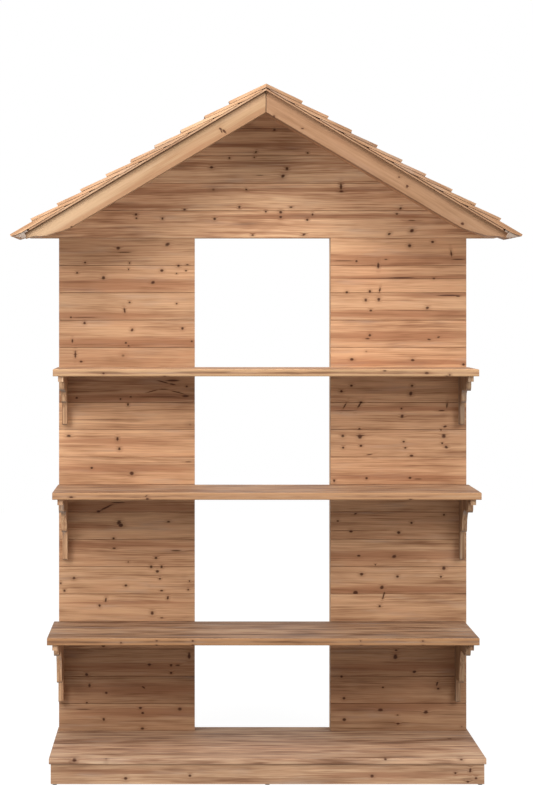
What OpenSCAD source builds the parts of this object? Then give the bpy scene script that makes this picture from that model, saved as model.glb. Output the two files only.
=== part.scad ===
// House-shaped bookcase: two tongue-and-groove wall panels on a low plinth, a boarded gable,
// a shingled roof that projects over the front, and three shelves on shaped brackets.
// Millimetres. +X is to the right, +Y goes back through the wall, +Z is up.
// The origin is on the floor, below the middle of the overall width and depth.
// Lists of three values go from the lowest shelf to the highest.

/* [Boards] */
// Covered width of a tongue-and-groove board
board_cover = 82.5; // [76:0.5:90]
// Thickness of the wall and gable boards
board_t = 15; // [12:1:20]
// Play left between two neighbouring boards
board_gap = 0.4; // [0.2:0.1:0.8]
// Chamfer along the face edges of a board
board_chamfer = 1.2; // [0.6:0.1:2]
// Thickness of a tongue
tongue_t = 5; // [4:0.5:6]
// Length of a tongue
tongue_l = 6; // [4:0.5:8]
// Clearance round a tongue in its groove
tongue_play = 0.3; // [0.2:0.05:0.5]

/* [Walls] */
// Width of each wall panel
wall_w = 409; // [370:1:450]
// Width of the open middle between the two panels
opening_w = 409; // [360:1:450]
// Number of boards in the height of a wall
wall_boards = 18; // [17:1:20]
// Side of the square timber used for studs and rails
timber = 40; // [34:1:48]

/* [Plinth] */
// Thickness of the deck boards
deck_t = 16; // [14:1:20]
// Height of the boards that box the plinth
apron_h = 56.5; // [50:0.5:80]
// Thickness of the boards that box the plinth
apron_t = 18; // [16:1:22]
// How far the deck stands out over the box at the front and the sides
deck_lip = 5; // [2:0.5:10]
// Radius on the front edges of the deck and the shelves
nosing_r = 3; // [1:0.5:5]
// Width of a joist inside the plinth
joist_w = 30; // [20:1:45]
// Diameter of a floor glide
glide_d = 14; // [10:1:16]
// Height of a floor glide
glide_h = 3.5; // [3:0.5:6]
// Distance from an end of the plinth to the middle of a glide
glide_inset = 11; // [9:1:30]

/* [Shelves] */
// Depth of each shelf
shelf_d = [300, 260, 220]; // [220:5:340]
// Clear height below each shelf
clear_h = [310, 392, 334]; // [280:1:400]
// Thickness of a shelf
shelf_t = 20; // [18:1:24]
// How far each shelf and its brackets are fixed off the middle
shelf_shift = [-10, 2, 1]; // [-10:1:10]
// How far a shelf reaches past the walls at each side
shelf_lip = 4.5; // [0:0.5:10]
// Depth of the grooves along the glue lines in the top of a shelf
glue_groove = 0.8; // [0.4:0.1:1.2]

/* [Brackets] */
// Thickness of a bracket
bracket_t = 15; // [12:1:20]
// How far the front of a bracket stays behind the shelf's front edge
bracket_back = 10; // [5:1:25]
// Distance from a wall's outer edge to its bracket
bracket_inset = 10; // [10:1:25]
// Height of the square top block of a bracket
block_h = 16; // [10:1:18]
// How far the nose of each bracket stays behind its block
nose_back = [62, 55, 47]; // [30:1:65]
// Height of the rounded nose below the block
nose_h = 29; // [24:1:32]
// Radius under the nose
nose_r = 17; // [8:1:20]
// Height of the hollow between the nose and the knee of each bracket
hollow_h = [90, 58, 27]; // [20:1:92]
// How much the radius of each hollow exceeds its height
hollow_extra = [60, 3, 0.5]; // [0.5:0.5:80]
// Depth of each bracket at its knee
knee_d = [100, 70, 66]; // [60:1:100]
// Radius and height of the rounded knee below the hollow
knee_r = 12; // [6:1:16]
// Height of each bracket's leg, below the knee
leg_h = [71, 88, 68]; // [50:1:110]
// Depth of the leg at the foot of a bracket
leg_d = 25; // [20:1:32]
// Height of the hollow at the top of the leg
cove_h = 22; // [10:1:28]
// Radius of the hollow at the top of the leg
cove_r = 36; // [30:1:60]
// Radius at the toe of the leg
toe_r = 5; // [2:1:8]

/* [Roof frame] */
// Pitch of the roof in degrees
pitch = 30.6; // [28:0.2:33]
// How far the roof frame runs out past the walls at each side
eave_reach = 90; // [70:1:110]
// Height of the rafters, square to the slope
rafter_h = 35; // [30:1:42]
// How far the roof frame projects in front of the walls
roof_reach = 247; // [200:1:270]
// Distance from the tip of the frame to where its underside leaves the slope
tail_taper = 115; // [90:1:130]
// Length of the level underside at the tip of the frame
tail_flat = 36; // [20:1:50]
// Hollow of the curve between the sloping and the level underside
tail_cove = 3; // [1:0.5:5]
// How far the tail blocks reach up the slope from the start of that curve
block_lap = 10; // [5:1:30]
// Thickness of the soffit boards
soffit_t = 9; // [6:1:12]
// Width of a bearer between the soffit and the roof deck
bearer_w = 20; // [15:1:30]

/* [Roof covering] */
// Thickness of the roof deck
roof_deck_t = 5.5; // [4:0.5:10]
// How far the shingles project in front of the roof frame
verge = 16; // [10:1:40]
// How far the front edge of the roof deck stays behind the shingles
deck_back = 3; // [0:1:8]
// How far the eave strip reaches up over the roof frame
strip_lap = 20; // [12:1:40]
// Length of a step in the end of the eave strip
strip_step = 11.5; // [8:0.5:12]
// Height of a step in the end of the eave strip
strip_layer = 8; // [4:0.5:9]
// How far the lowest shingles run past the tip of the roof frame
eave_over = 30; // [28:1:36]
// How far the lowest shingles run past the eave strip
drip = 11; // [3:1:12]

/* [Shingles] */
// Thickness of a shingle at its lower end
butt_t = 8.5; // [6:0.5:11]
// Thickness of a shingle at its upper end
head_t = 2.5; // [2:0.5:5]
// How far a shingle is covered by the course above it
lap = 100; // [60:1:102]
// Visible length of the lowest course
first_exposure = 76.5; // [66:0.5:86]
// Visible length of the course at the ridge
top_exposure = 109; // [106:1:125]
// Thickness of the top course at the ridge
ridge_t = 11; // [8:0.5:12]
// Number of shingles from front to back
shingles_deep = 4; // [3:1:6]
// Gap between neighbouring shingles
shingle_gap = 1.5; // [1:0.5:3]
// Clearance between shingles and what they lie on
lap_play = 0.3; // [0.2:0.1:0.5]
// Largest unevenness of the shingles' lower ends
butt_wander = 2.5; // [0:0.5:4]
// Largest unevenness of the joints between neighbouring shingles
joint_wander = 9; // [0:1:12]

/* [Screws] */
// Diameter of the screws
screw_d = 4; // [3:0.5:5]
// Diameter of a screw's head
screw_head_d = 8; // [7:0.5:10]
// How far a screw enters the back edge of a shelf
shelf_bite = 30; // [20:1:40]
// How far a screw enters the back of a bracket
bracket_bite = 17; // [12:1:18]
// Distance from a panel's side edges to its shelf screws
screw_edge = 100; // [60:1:140]
// Height of a bracket's lower screw above its foot
foot_screw = 30; // [20:1:40]
// Clearance round a screw
screw_play = 0.1; // [0.05:0.05:0.3]

/* [Hidden] */
$fn = 48;
// Boards and shingle courses that are each a node of their own
deck_boards = 5;
gable_boards = 5;
courses = 10;
// Facets of the wide, shallow curves
fine = 180;
// How far a cutting shape runs past the solid it cuts
over = 1;

// Plan
frame_w = 2 * wall_w + opening_w;
wall_t = board_t + timber;
deck_d = deck_boards * board_cover;
back_y = deck_d / 2;
wall_y = back_y - wall_t;
stud_y = wall_y + board_t;
deck_y = -deck_d / 2;
apron_y = deck_y + deck_lip;
joist_l = back_y - apron_y - 2 * apron_t;
barge_y = wall_y - roof_reach;
soffit_y = barge_y + timber;
soffit_d = wall_y - soffit_y;
verge_y = barge_y - verge;
roof_d = back_y - verge_y;

// Heights
deck_z = glide_h + apron_h;
floor_z = deck_z + deck_t;
wall_h = wall_boards * board_cover;
wall_top = floor_z + wall_h;
shelf_z = [for (i = [0 : 2]) floor_z + total(clear_h, i) + i * shelf_t];

// Brackets
bracket_x = frame_w / 2 - bracket_inset - bracket_t / 2;
nose_z = block_h + nose_h;

// Roof frame, seen from the front: distances from the middle, and heights
half_span = frame_w / 2 + eave_reach;
rise = half_span * tan(pitch);
apex_z = wall_top + rise;
rafter_drop = rafter_h / cos(pitch);
tail_start = half_span - tail_taper;
tail_level = half_span - tail_flat;
block_x = tail_start - block_lap;
tail_z = frame_under(tail_start);
rafter_foot = half_span - rafter_drop / tan(pitch);

// Roof covering: distances down the slope from the ridge, and heights square to the slope
slope_l = half_span / cos(pitch);
strip_s = slope_l - strip_lap;
eave_s = slope_l + eave_over;
strip_end = eave_s - drip;
exposure = (eave_s - first_exposure - top_exposure) / (courses - 2);
shingle_w = roof_d / shingles_deep;
seat_n = roof_deck_t + lap_play;
// How steeply the shingles rise from the deck, and the height of their lower ends' undersides
shingle_rise = (butt_t + lap_play) / exposure;
under_n = seat_n + head_t + lap * shingle_rise + lap_play;

sides = [-1, 1];
side_names = ["left", "right"];

function total(list, last) = last < 0 ? 0 : list[last] + total(list, last - 1);
// Distances from the shelf down to the bottom of the hollow and to the foot of bracket i
function hollow_z(i) = nose_z + hollow_h[i];
function foot_z(i) = hollow_z(i) + knee_r + leg_h[i];
// A steady unevenness between -1 and 1 that depends only on its arguments
function uneven(a, b, c) = sin(137 * a + 71 * b + 211 * c);
// Height of the underside of the roof deck, and of the roof frame, at a distance from the middle
function deck_under(x) = apex_z - x * tan(pitch);
function frame_under(x) = deck_under(x) - rafter_drop;
// A point s down the slope and n above the frame, in X and Z on the right-hand side
function roof_point(s, n) =
    [s * cos(pitch) + n * sin(pitch), apex_z - s * sin(pitch) + n * cos(pitch)];
// Distance down the slope of a point n above the frame and x from the middle
function slope_at(x, n) = (x - n * sin(pitch)) / cos(pitch);

// ---------- shared shapes ----------

// A flat shape drawn in Y and Z, run along X from x to x + w
module along_x(x, w) {
    translate([x, 0, 0]) rotate([90, 0, 90]) linear_extrude(w) children();
}

// A flat shape drawn in X and Z, run along Y from y to y + d
module along_y(y, d) {
    translate([0, y + d, 0]) rotate([90, 0, 0]) linear_extrude(d) children();
}

// A shape of the right-hand side, or its mirror image on the left
module on_side(side) {
    mirror([side < 0 ? 1 : 0, 0, 0]) children();
}

// Section of a tongue-and-groove board: its face at x = 0, its tongue at the top
module board_section(h, t, tongue = true, groove = true) {
    mid = t / 2;
    slot = tongue_t / 2 + tongue_play;
    slot_h = tongue_l + tongue_play;
    bead = tongue_t / 2;
    polygon(concat(
        [[0, h - board_chamfer], [0, board_chamfer], [board_chamfer, 0]],
        groove ? [[mid - slot, 0], [mid - slot, slot_h], [mid + slot, slot_h], [mid + slot, 0]] : [],
        [[t, 0], [t, h]],
        tongue ? [[mid + bead, h], [mid + bead, h + tongue_l],
                  [mid - bead, h + tongue_l], [mid - bead, h]] : [],
        [[board_chamfer, h]]
    ));
}

// Section of a plank whose front edge, at x = 0, is rounded top and bottom
module nosed_section(d, t) {
    translate([nosing_r, 0]) square([d - nosing_r, t]);
    translate([0, nosing_r]) square([nosing_r + over, t - 2 * nosing_r]);
    for (z = [nosing_r, t - nosing_r]) translate([nosing_r, z]) circle(nosing_r);
}

// ---------- plinth ----------

module long_base_board(y) {
    color("burlywood")
        translate([-frame_w / 2, y, glide_h]) cube([frame_w, apron_t, apron_h]);
}

module end_base_board(side) {
    x = side < 0 ? -frame_w / 2 : frame_w / 2 - apron_t;
    color("burlywood")
        translate([x, apron_y + apron_t, glide_h]) cube([apron_t, joist_l, apron_h]);
}

// Cross joists under the deck: one below each inner stud and one in the middle
module base_joists() {
    at = (opening_w + timber) / 2;
    color("tan")
        for (x = [-at, 0, at])
            translate([x - joist_w / 2, apron_y + apron_t, glide_h])
                cube([joist_w, joist_l, apron_h]);
}

// Deck board number i, counted from the front; its tongue points back
module deck_board(i) {
    last = i == deck_boards;
    h = board_cover - (last ? 0 : board_gap);
    color("burlywood")
        along_x(-frame_w / 2 - deck_lip, frame_w + 2 * deck_lip)
            translate([deck_y + (i - 1) * board_cover, floor_z])
                intersection() {
                    rotate(-90) board_section(h, deck_t, !last, i > 1);
                    if (i == 1) {
                        translate([0, -deck_t]) nosed_section(board_cover + tongue_l, deck_t);
                    }
                }
}

// Domed glides under the corners and the middle of the long boards
module floor_glides() {
    color("dimgray")
        for (x = [glide_inset - frame_w / 2, 0, frame_w / 2 - glide_inset])
            for (y = [apron_y + apron_t / 2, back_y - apron_t / 2])
                translate([x, y, 0]) rotate_extrude() glide_section();
}

module glide_section() {
    r = glide_h / 2;
    square([glide_d / 2 - r, glide_h]);
    translate([0, r]) square([glide_d / 2, r]);
    translate([glide_d / 2 - r, r]) circle(r);
}

// ---------- walls ----------

// Left edge of a wall panel
function wall_x(side) = side < 0 ? -frame_w / 2 : opening_w / 2;

module wall_boards(side) {
    color("peru")
        difference() {
            for (i = [1 : wall_boards])
                along_x(wall_x(side), wall_w)
                    translate([wall_y, floor_z + (i - 1) * board_cover])
                        board_section(
                            board_cover - (i < wall_boards ? board_gap : 0),
                            board_t, i < wall_boards, i > 1
                        );
            shelf_screw_holes();
            bracket_screw_holes();
        }
}

// A stud along one edge of a panel; the outer ones carry the brackets' screws
module stud(side, outer) {
    middle = side * ((outer ? frame_w : opening_w) - (outer ? timber : -timber)) / 2;
    color("burlywood")
        difference() {
            translate([middle - timber / 2, stud_y, floor_z]) cube([timber, timber, wall_h]);
            if (outer) bracket_screw_holes();
        }
}

// Rails between the studs: at the foot, behind each shelf, and at the head
module wall_rails(side) {
    heights = concat(
        [floor_z],
        [for (z = shelf_z) z + shelf_t / 2 - timber / 2],
        [wall_top - timber]
    );
    color("burlywood")
        difference() {
            for (z = heights)
                translate([wall_x(side) + timber, stud_y, z])
                    cube([wall_w - 2 * timber, timber, timber]);
            shelf_screw_holes();
        }
}

// ---------- shelves ----------

module shelf(i) {
    d = shelf_d[i - 1];
    groove_side = glue_groove * sqrt(2);
    color("burlywood")
        difference() {
            along_x(-frame_w / 2 - shelf_lip + shelf_shift[i - 1], frame_w + 2 * shelf_lip)
                translate([wall_y - d, shelf_z[i - 1]])
                    difference() {
                        nosed_section(d, shelf_t);
                        for (y = [board_cover : board_cover : d - glue_groove])
                            translate([y, shelf_t])
                                rotate(45) square(groove_side, center = true);
                    }
            shelf_screw_holes();
        }
}

// ---------- brackets ----------

// Side of bracket i: the wall at x = 0 and the shelf at y = 0, drawn towards -x and -y
module bracket_section(i) {
    d = shelf_d[i] - bracket_back;
    knee_z = hollow_z(i) + knee_r;
    translate([-d, -block_h]) square([d, block_h]);
    rounded(d - nose_back[i], nose_z, nose_r);
    translate([0, -hollow_z(i)]) hollowed(knee_d[i], hollow_h[i], hollow_h[i] + hollow_extra[i]);
    rounded(knee_d[i], knee_z, knee_r);
    translate([0, -knee_z - cove_h]) hollowed(leg_d, cove_h, cove_r);
    rounded(leg_d, foot_z(i), toe_r);
}

// A block d deep and h high below y = 0, with a round of radius r at its lower front corner
module rounded(d, h, r) {
    difference() {
        translate([-d, -h]) square([d, h]);
        difference() {
            translate([-d - over, -h - over]) square(r + over);
            translate([r - d, r - h]) circle(r);
        }
    }
}

// A block that is d deep at y = 0 and sweeps forward in a hollow of radius r up to height h;
// what stands above h lies inside the piece above it
module hollowed(d, h, r) {
    reach = d + r - sqrt(r * r - h * h) + over;
    difference() {
        translate([-reach, 0]) square([reach, h + over]);
        translate([-d - r, 0]) circle(r, $fn = fine);
    }
}

module bracket(side, i) {
    color("tan")
        difference() {
            along_x(side * bracket_x - bracket_t / 2 + shelf_shift[i], bracket_t)
                translate([wall_y, shelf_z[i]]) bracket_section(i);
            bracket_screw_holes();
        }
}

// ---------- screws ----------

// Places of the screws that hold the shelves, two through each wall panel
module at_shelf_screws() {
    reach = wall_w / 2 - screw_edge;
    for (z = shelf_z, side = sides, k = sides)
        translate([side * (opening_w + wall_w) / 2 + k * reach, back_y, z + shelf_t / 2])
            rotate([90, 0, 0]) children();
}

// Places of the screws that hold the brackets, two behind each
module at_bracket_screws() {
    for (side = sides, i = [0 : 2], drop = [nose_z, foot_z(i) - foot_screw])
        translate([side * bracket_x + shelf_shift[i], back_y, shelf_z[i] - drop])
            rotate([90, 0, 0]) children();
}

// A screw through the wall, pointing up from its head and grown by play all round
module screw_shape(bite, play) {
    head_h = (screw_head_d - screw_d) / 2;
    cylinder(d1 = screw_head_d + 2 * play, d2 = screw_d + 2 * play, h = head_h);
    cylinder(d = screw_d + 2 * play, h = wall_t + bite + play);
}

module shelf_screw_holes() {
    at_shelf_screws() screw_shape(shelf_bite, screw_play);
}

module bracket_screw_holes() {
    at_bracket_screws() screw_shape(bracket_bite, screw_play);
}

// A countersunk screw with a cross recess in its head
module screw(bite) {
    recess_l = screw_d;
    recess_w = screw_d / 4;
    recess_h = screw_d / 2;
    color("silver")
        difference() {
            screw_shape(bite, 0);
            for (turn = [0, 90])
                rotate(turn) cube([recess_l, recess_w, recess_h], center = true);
        }
}

// Through a rail and a wall board into the back edge of a shelf
module shelf_screws() {
    at_shelf_screws() screw(shelf_bite);
}

// Through an outer stud and a wall board into the back of a bracket
module bracket_screws() {
    at_bracket_screws() screw(bracket_bite);
}

// ---------- gable ----------

module gable_board(i) {
    last = i == gable_boards;
    base = (i - 1) * board_cover;
    color("peru")
        intersection() {
            along_x(-half_span, 2 * half_span)
                translate([wall_y, wall_top + base])
                    board_section(last ? rise - base : board_cover - board_gap, board_t, !last, i > 1);
            along_y(wall_y - over, board_t + 2 * over)
                polygon([[-half_span, wall_top], [half_span, wall_top], [0, apex_z]]);
        }
}

module gable_tie() {
    head = rafter_foot - timber / tan(pitch);
    color("burlywood")
        along_y(stud_y, timber)
            polygon([
                [-rafter_foot, wall_top], [rafter_foot, wall_top],
                [head, wall_top + timber], [-head, wall_top + timber]
            ]);
}

module king_post() {
    half = timber / 2;
    color("burlywood")
        along_y(stud_y, timber)
            polygon([
                [-half, wall_top + timber], [half, wall_top + timber],
                [half, frame_under(half)], [0, frame_under(0)], [-half, frame_under(half)]
            ]);
}

module rear_rafter(side) {
    color("burlywood")
        on_side(side) along_y(stud_y, timber) rafter_outline();
}

// Outline of the right-hand rafter, with its foot cut level
module rafter_outline() {
    polygon([[0, apex_z], [half_span, wall_top], [rafter_foot, wall_top], [0, frame_under(0)]]);
}

// ---------- roof frame ----------

// Cuts the hollow of the tail, from the sloping underside to the level one
module tail_hollow() {
    chord = [tail_level - tail_start, wall_top - tail_z];
    chord_l = norm(chord);
    r = (chord_l * chord_l / 4 + tail_cove * tail_cove) / (2 * tail_cove);
    down = [chord[1], -chord[0]] / chord_l;
    translate([tail_start, tail_z] + chord / 2 + down * (r - tail_cove)) circle(r, $fn = 2 * fine);
}

// Front rafter that closes the roof's face
module barge_rafter(side) {
    color("burlywood")
        on_side(side) along_y(barge_y, timber) difference() {
            rafter_outline();
            tail_hollow();
        }
}

// Tail piece between the front rafter and the gable
module eave_block(side) {
    color("tan")
        on_side(side)
            along_y(soffit_y, soffit_d)
                difference() {
                    polygon([
                        [block_x, deck_under(block_x)], [half_span, wall_top],
                        [rafter_foot, wall_top], [block_x, frame_under(block_x)]
                    ]);
                    tail_hollow();
                }
}

module soffit(side) {
    up = soffit_t / cos(pitch);
    color("peru")
        on_side(side)
            along_y(soffit_y, soffit_d)
                polygon([
                    [0, frame_under(0) + up], [block_x, frame_under(block_x) + up],
                    [block_x, frame_under(block_x)], [0, frame_under(0)]
                ]);
}

// Cross pieces between the soffits and the deck, evenly spaced between ridge and tail
module roof_bearers() {
    run = tail_start / cos(pitch);
    low = soffit_t - rafter_h;
    color("tan")
        for (side = sides, k = [1 : 3])
            on_side(side)
                along_y(soffit_y, soffit_d)
                    slope_strip(k * run / 4, k * run / 4 + bearer_w, low, 0);
}

// Strip of the right-hand slope from s0 to s1 down it and from n0 to n1 above the frame
module slope_strip(s0, s1, n0, n1) {
    polygon([roof_point(s0, n0), roof_point(s1, n0), roof_point(s1, n1), roof_point(s0, n1)]);
}

// ---------- roof covering ----------

// Thin boarding from the ridge, where both sides are mitred, to the eave strip
module roof_deck(side) {
    y = verge_y + deck_back;
    color("wheat")
        on_side(side)
            along_y(y, back_y - y)
                polygon([
                    roof_point(0, 0), roof_point(strip_s, 0), roof_point(strip_s, roof_deck_t),
                    roof_point(slope_at(0, roof_deck_t), roof_deck_t)
                ]);
}

// Strip below the lowest shingles; in front of the frame it has a stepped end that hides the tip
module eave_strip(side) {
    y = verge_y + deck_back;
    step_1 = strip_end - strip_step;
    step_2 = step_1 - strip_step;
    low = -2 * strip_layer;
    color("gray")
        on_side(side) {
            along_y(y, back_y - y) slope_strip(strip_s, strip_end, 0, roof_deck_t);
            along_y(y, barge_y - y)
                polygon([
                    roof_point(slope_l, 0), roof_point(slope_l, roof_deck_t),
                    roof_point(strip_end, roof_deck_t), roof_point(strip_end, 0),
                    roof_point(step_1, 0), roof_point(step_1, -strip_layer),
                    roof_point(step_2, -strip_layer), roof_point(step_2, low),
                    roof_point(slope_l + low / tan(pitch), low)
                ]);
        }
}

// ---------- shingles ----------

// Distances down the slope of the lower and the upper end of course i
function butt_s(i) = eave_s - (i > 1 ? first_exposure + (i - 2) * exposure : 0);
function head_s(i) = i == courses ? slope_at(lap_play, seat_n) : butt_s(i + 1) - lap;
// Height of the upper face of a course that the next one lies on, at a distance down the slope
// from its own upper end
function top_n(s) = seat_n + head_t + shingle_rise * s;

// Section of course i. Its lower part lies on the course below; where that has ended, its
// underside is planed flat to lie on the deck. The course at the eave is as thick at its lower
// end as where the next course starts. At the ridge the upper end meets the other slope.
module shingle_section(i, longer) {
    head = head_s(i);
    butt = butt_s(i) + longer;
    butt_n = under_n + shingle_rise * longer;
    meet = butt_s(i) - (under_n - seat_n) / shingle_rise;
    high = under_n - shingle_rise * (butt_s(i) - head);
    polygon(concat(
        i == 1 ? [roof_point(head, seat_n), roof_point(butt, seat_n)]
        : meet > head
            ? [roof_point(head, seat_n), roof_point(meet, seat_n), roof_point(butt, butt_n)]
            : [roof_point(slope_at(lap_play, high), high), roof_point(butt, butt_n)],
        i == 1
            ? [roof_point(butt, top_n(lap)), roof_point(head + lap, top_n(lap))]
            : [roof_point(butt, butt_n + butt_t)],
        i == courses
            ? [roof_point(slope_at(lap_play, seat_n + ridge_t), seat_n + ridge_t)]
            : [roof_point(head, seat_n + head_t)]
    ));
}

// Number of shingles from front to back in course i: every second course starts and ends with
// a half shingle, so that its joints lie over the middle of the shingles below
function shingle_count(i) = shingles_deep + (i % 2 == 0 ? 1 : 0);
// Distance from the verge to the joint behind shingle k of course i
function joint_d(i, k, side) =
    k == 0 ? 0
    : k == shingle_count(i) ? roof_d
    : (k - (shingle_count(i) - shingles_deep) / 2) * shingle_w + joint_wander * uneven(k, i, side);

// The lowest course is trimmed straight; the others end unevenly
module shingle_course(i) {
    wander = i == 1 ? 0 : butt_wander;
    color("burlywood")
        for (side = sides, k = [1 : shingle_count(i)]) {
            front = joint_d(i, k - 1, side) + (k > 1 ? shingle_gap : 0);
            on_side(side)
                along_y(verge_y + front, joint_d(i, k, side) - front)
                    shingle_section(i, wander * uneven(i, k, side));
        }
}

// ---------- nodes ----------

long_base_board(apron_y);  // base_front_board
long_base_board(back_y - apron_t);  // base_back_board
end_base_board(-1);  // base_left_board
end_base_board(1);  // base_right_board
base_joists();
floor_glides();
for (i = [1 : deck_boards])
    deck_board(i);
for (s = [0, 1]) {
    name = side_names[s];
    side = sides[s];
    wall_boards(side);
    wall_rails(side);
    stud(side, true);
    stud(side, false);
    rear_rafter(side);
    barge_rafter(side);
    soffit(side);
    eave_block(side);
    roof_deck(side);
    eave_strip(side);
    for (i = [1 : 3])
        bracket(side, i - 1);
}
for (i = [1 : 3])
    shelf(i);
shelf_screws();
bracket_screws();
for (i = [1 : gable_boards])
    gable_board(i);
gable_tie();
king_post();
roof_bearers();
for (i = [1 : courses])
    shingle_course(i);
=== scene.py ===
"""House shaped bookcase: its wood finishes, split shingles, lamps and camera.

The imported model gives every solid, in metres: +X to the right, +Y back through the wall, +Z up.
"""

from __future__ import annotations

import logging
import math
from dataclasses import dataclass, replace
from enum import Enum
from typing import Callable, Iterable, Mapping, Optional, Sequence, Union

import bmesh
import bpy
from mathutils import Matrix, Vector, noise

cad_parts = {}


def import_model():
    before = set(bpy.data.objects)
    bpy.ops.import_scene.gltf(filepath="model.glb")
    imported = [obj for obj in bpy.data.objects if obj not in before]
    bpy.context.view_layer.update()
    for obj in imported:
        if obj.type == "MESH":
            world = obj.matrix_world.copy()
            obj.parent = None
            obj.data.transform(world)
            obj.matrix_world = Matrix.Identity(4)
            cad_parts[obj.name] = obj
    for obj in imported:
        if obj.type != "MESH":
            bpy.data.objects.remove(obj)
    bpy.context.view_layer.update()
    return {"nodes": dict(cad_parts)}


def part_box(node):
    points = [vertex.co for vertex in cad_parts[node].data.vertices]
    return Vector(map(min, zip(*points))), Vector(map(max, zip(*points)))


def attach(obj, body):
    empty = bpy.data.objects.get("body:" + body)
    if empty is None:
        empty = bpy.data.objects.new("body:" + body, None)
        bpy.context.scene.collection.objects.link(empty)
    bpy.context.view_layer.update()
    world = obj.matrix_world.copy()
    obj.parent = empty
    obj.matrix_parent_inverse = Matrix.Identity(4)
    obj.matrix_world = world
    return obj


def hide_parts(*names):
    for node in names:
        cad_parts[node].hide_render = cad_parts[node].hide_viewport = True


LOG = logging.getLogger("bookcase")
BODY = "root"
MM = 0.001
PITCH = math.radians(30.6)
BOARD_COVER = 0.0825
WALL_FACE = 0.15125

WELD_DISTANCE = 1e-5
FLAT_ANGLE = math.radians(1)
ARRIS_ANGLE = math.radians(25)
CORNER_ANGLE = math.radians(60)
CRISP_ANGLE = math.radians(40)

Triple = tuple[float, float, float]

RIGHTWARD: Triple = (1.0, 0.0, 0.0)
BACKWARD: Triple = (0.0, 1.0, 0.0)
UPWARD: Triple = (0.0, 0.0, 1.0)


# ---------- shader maths ----------


class Kind(Enum):
    """What a socket carries."""

    VALUE = "VALUE"
    VECTOR = "VECTOR"
    COLOR = "RGBA"
    SHADER = "SHADER"


def operator(operation: str, swapped: bool = False) -> Callable[[Signal, Operand], Signal]:
    """Make a method that works on a signal and a second operand.

    Args:
        operation: Name of the operation, as the Math node has it.
        swapped: Whether the second operand stands first.

    Returns:
        The method.
    """

    def method(signal: Signal, other: Operand) -> Signal:
        """Result of the operation on the two operands."""
        operands = (other, signal) if swapped else (signal, other)
        return signal.graph.combine(operation, *operands)

    return method


class Signal:
    """An output socket that Python expressions can work on."""

    def __init__(self, graph: Graph, socket: bpy.types.NodeSocket) -> None:
        """Wrap a socket.

        Args:
            graph: The graph that holds the socket's node.
            socket: The output socket.
        """
        self.graph = graph
        self.socket = socket

    @property
    def kind(self) -> Kind:
        """What the socket carries."""
        return Kind(self.socket.type)

    def other(self, name: str) -> Signal:
        """Another output of the same node."""
        return Signal(self.graph, self.socket.node.outputs[name])

    __add__ = operator("ADD")
    __radd__ = operator("ADD", swapped=True)
    __sub__ = operator("SUBTRACT")
    __rsub__ = operator("SUBTRACT", swapped=True)
    __mul__ = operator("MULTIPLY")
    __rmul__ = operator("MULTIPLY", swapped=True)
    __truediv__ = operator("DIVIDE")
    __rtruediv__ = operator("DIVIDE", swapped=True)
    __pow__ = operator("POWER")
    __rpow__ = operator("POWER", swapped=True)
    least = operator("MINIMUM")
    most = operator("MAXIMUM")

    def __abs__(self) -> Signal:
        """Size without sign."""
        return self.graph.combine("ABSOLUTE", self)

    def dot(self, axis: Triple) -> Signal:
        """Component of a vector along an axis."""
        inputs = {0: self, 1: axis}
        return self.graph.add("ShaderNodeVectorMath", {"operation": "DOT_PRODUCT"}, inputs, "Value")

    def length(self) -> Signal:
        """Length of a vector."""
        return self.graph.add("ShaderNodeVectorMath", {"operation": "LENGTH"}, {0: self}, "Value")

    def floor(self) -> Signal:
        """Largest whole number that is not above the value."""
        return self.graph.combine("FLOOR", self)

    def wave(self) -> Signal:
        """A wave between 0 and 1 that comes back at every whole number."""
        return self.graph.combine("SINE", self * math.tau) * 0.5 + 0.5

    def smooth(self, start: float, end: float) -> Signal:
        """A soft step from 0 at start to 1 at end; start may be the larger.

        Args:
            start: Value at which the result is 0.
            end: Value at which the result is 1.

        Returns:
            The stepped value.
        """
        return self.graph.add(
            "ShaderNodeMapRange",
            {"interpolation_type": "SMOOTHSTEP"},
            {"Value": self, "From Min": start, "From Max": end},
        )


Operand = Union[Signal, float, Sequence[float]]


def kind_of(operand: Operand) -> Kind:
    """Kind of an operand: three numbers are a vector and four are a colour.

    Args:
        operand: A signal, a number or a list of numbers.

    Returns:
        Its kind.
    """
    if isinstance(operand, Signal):
        return operand.kind
    if isinstance(operand, (int, float)):
        return Kind.VALUE
    return Kind.VECTOR if len(operand) == 3 else Kind.COLOR


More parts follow.
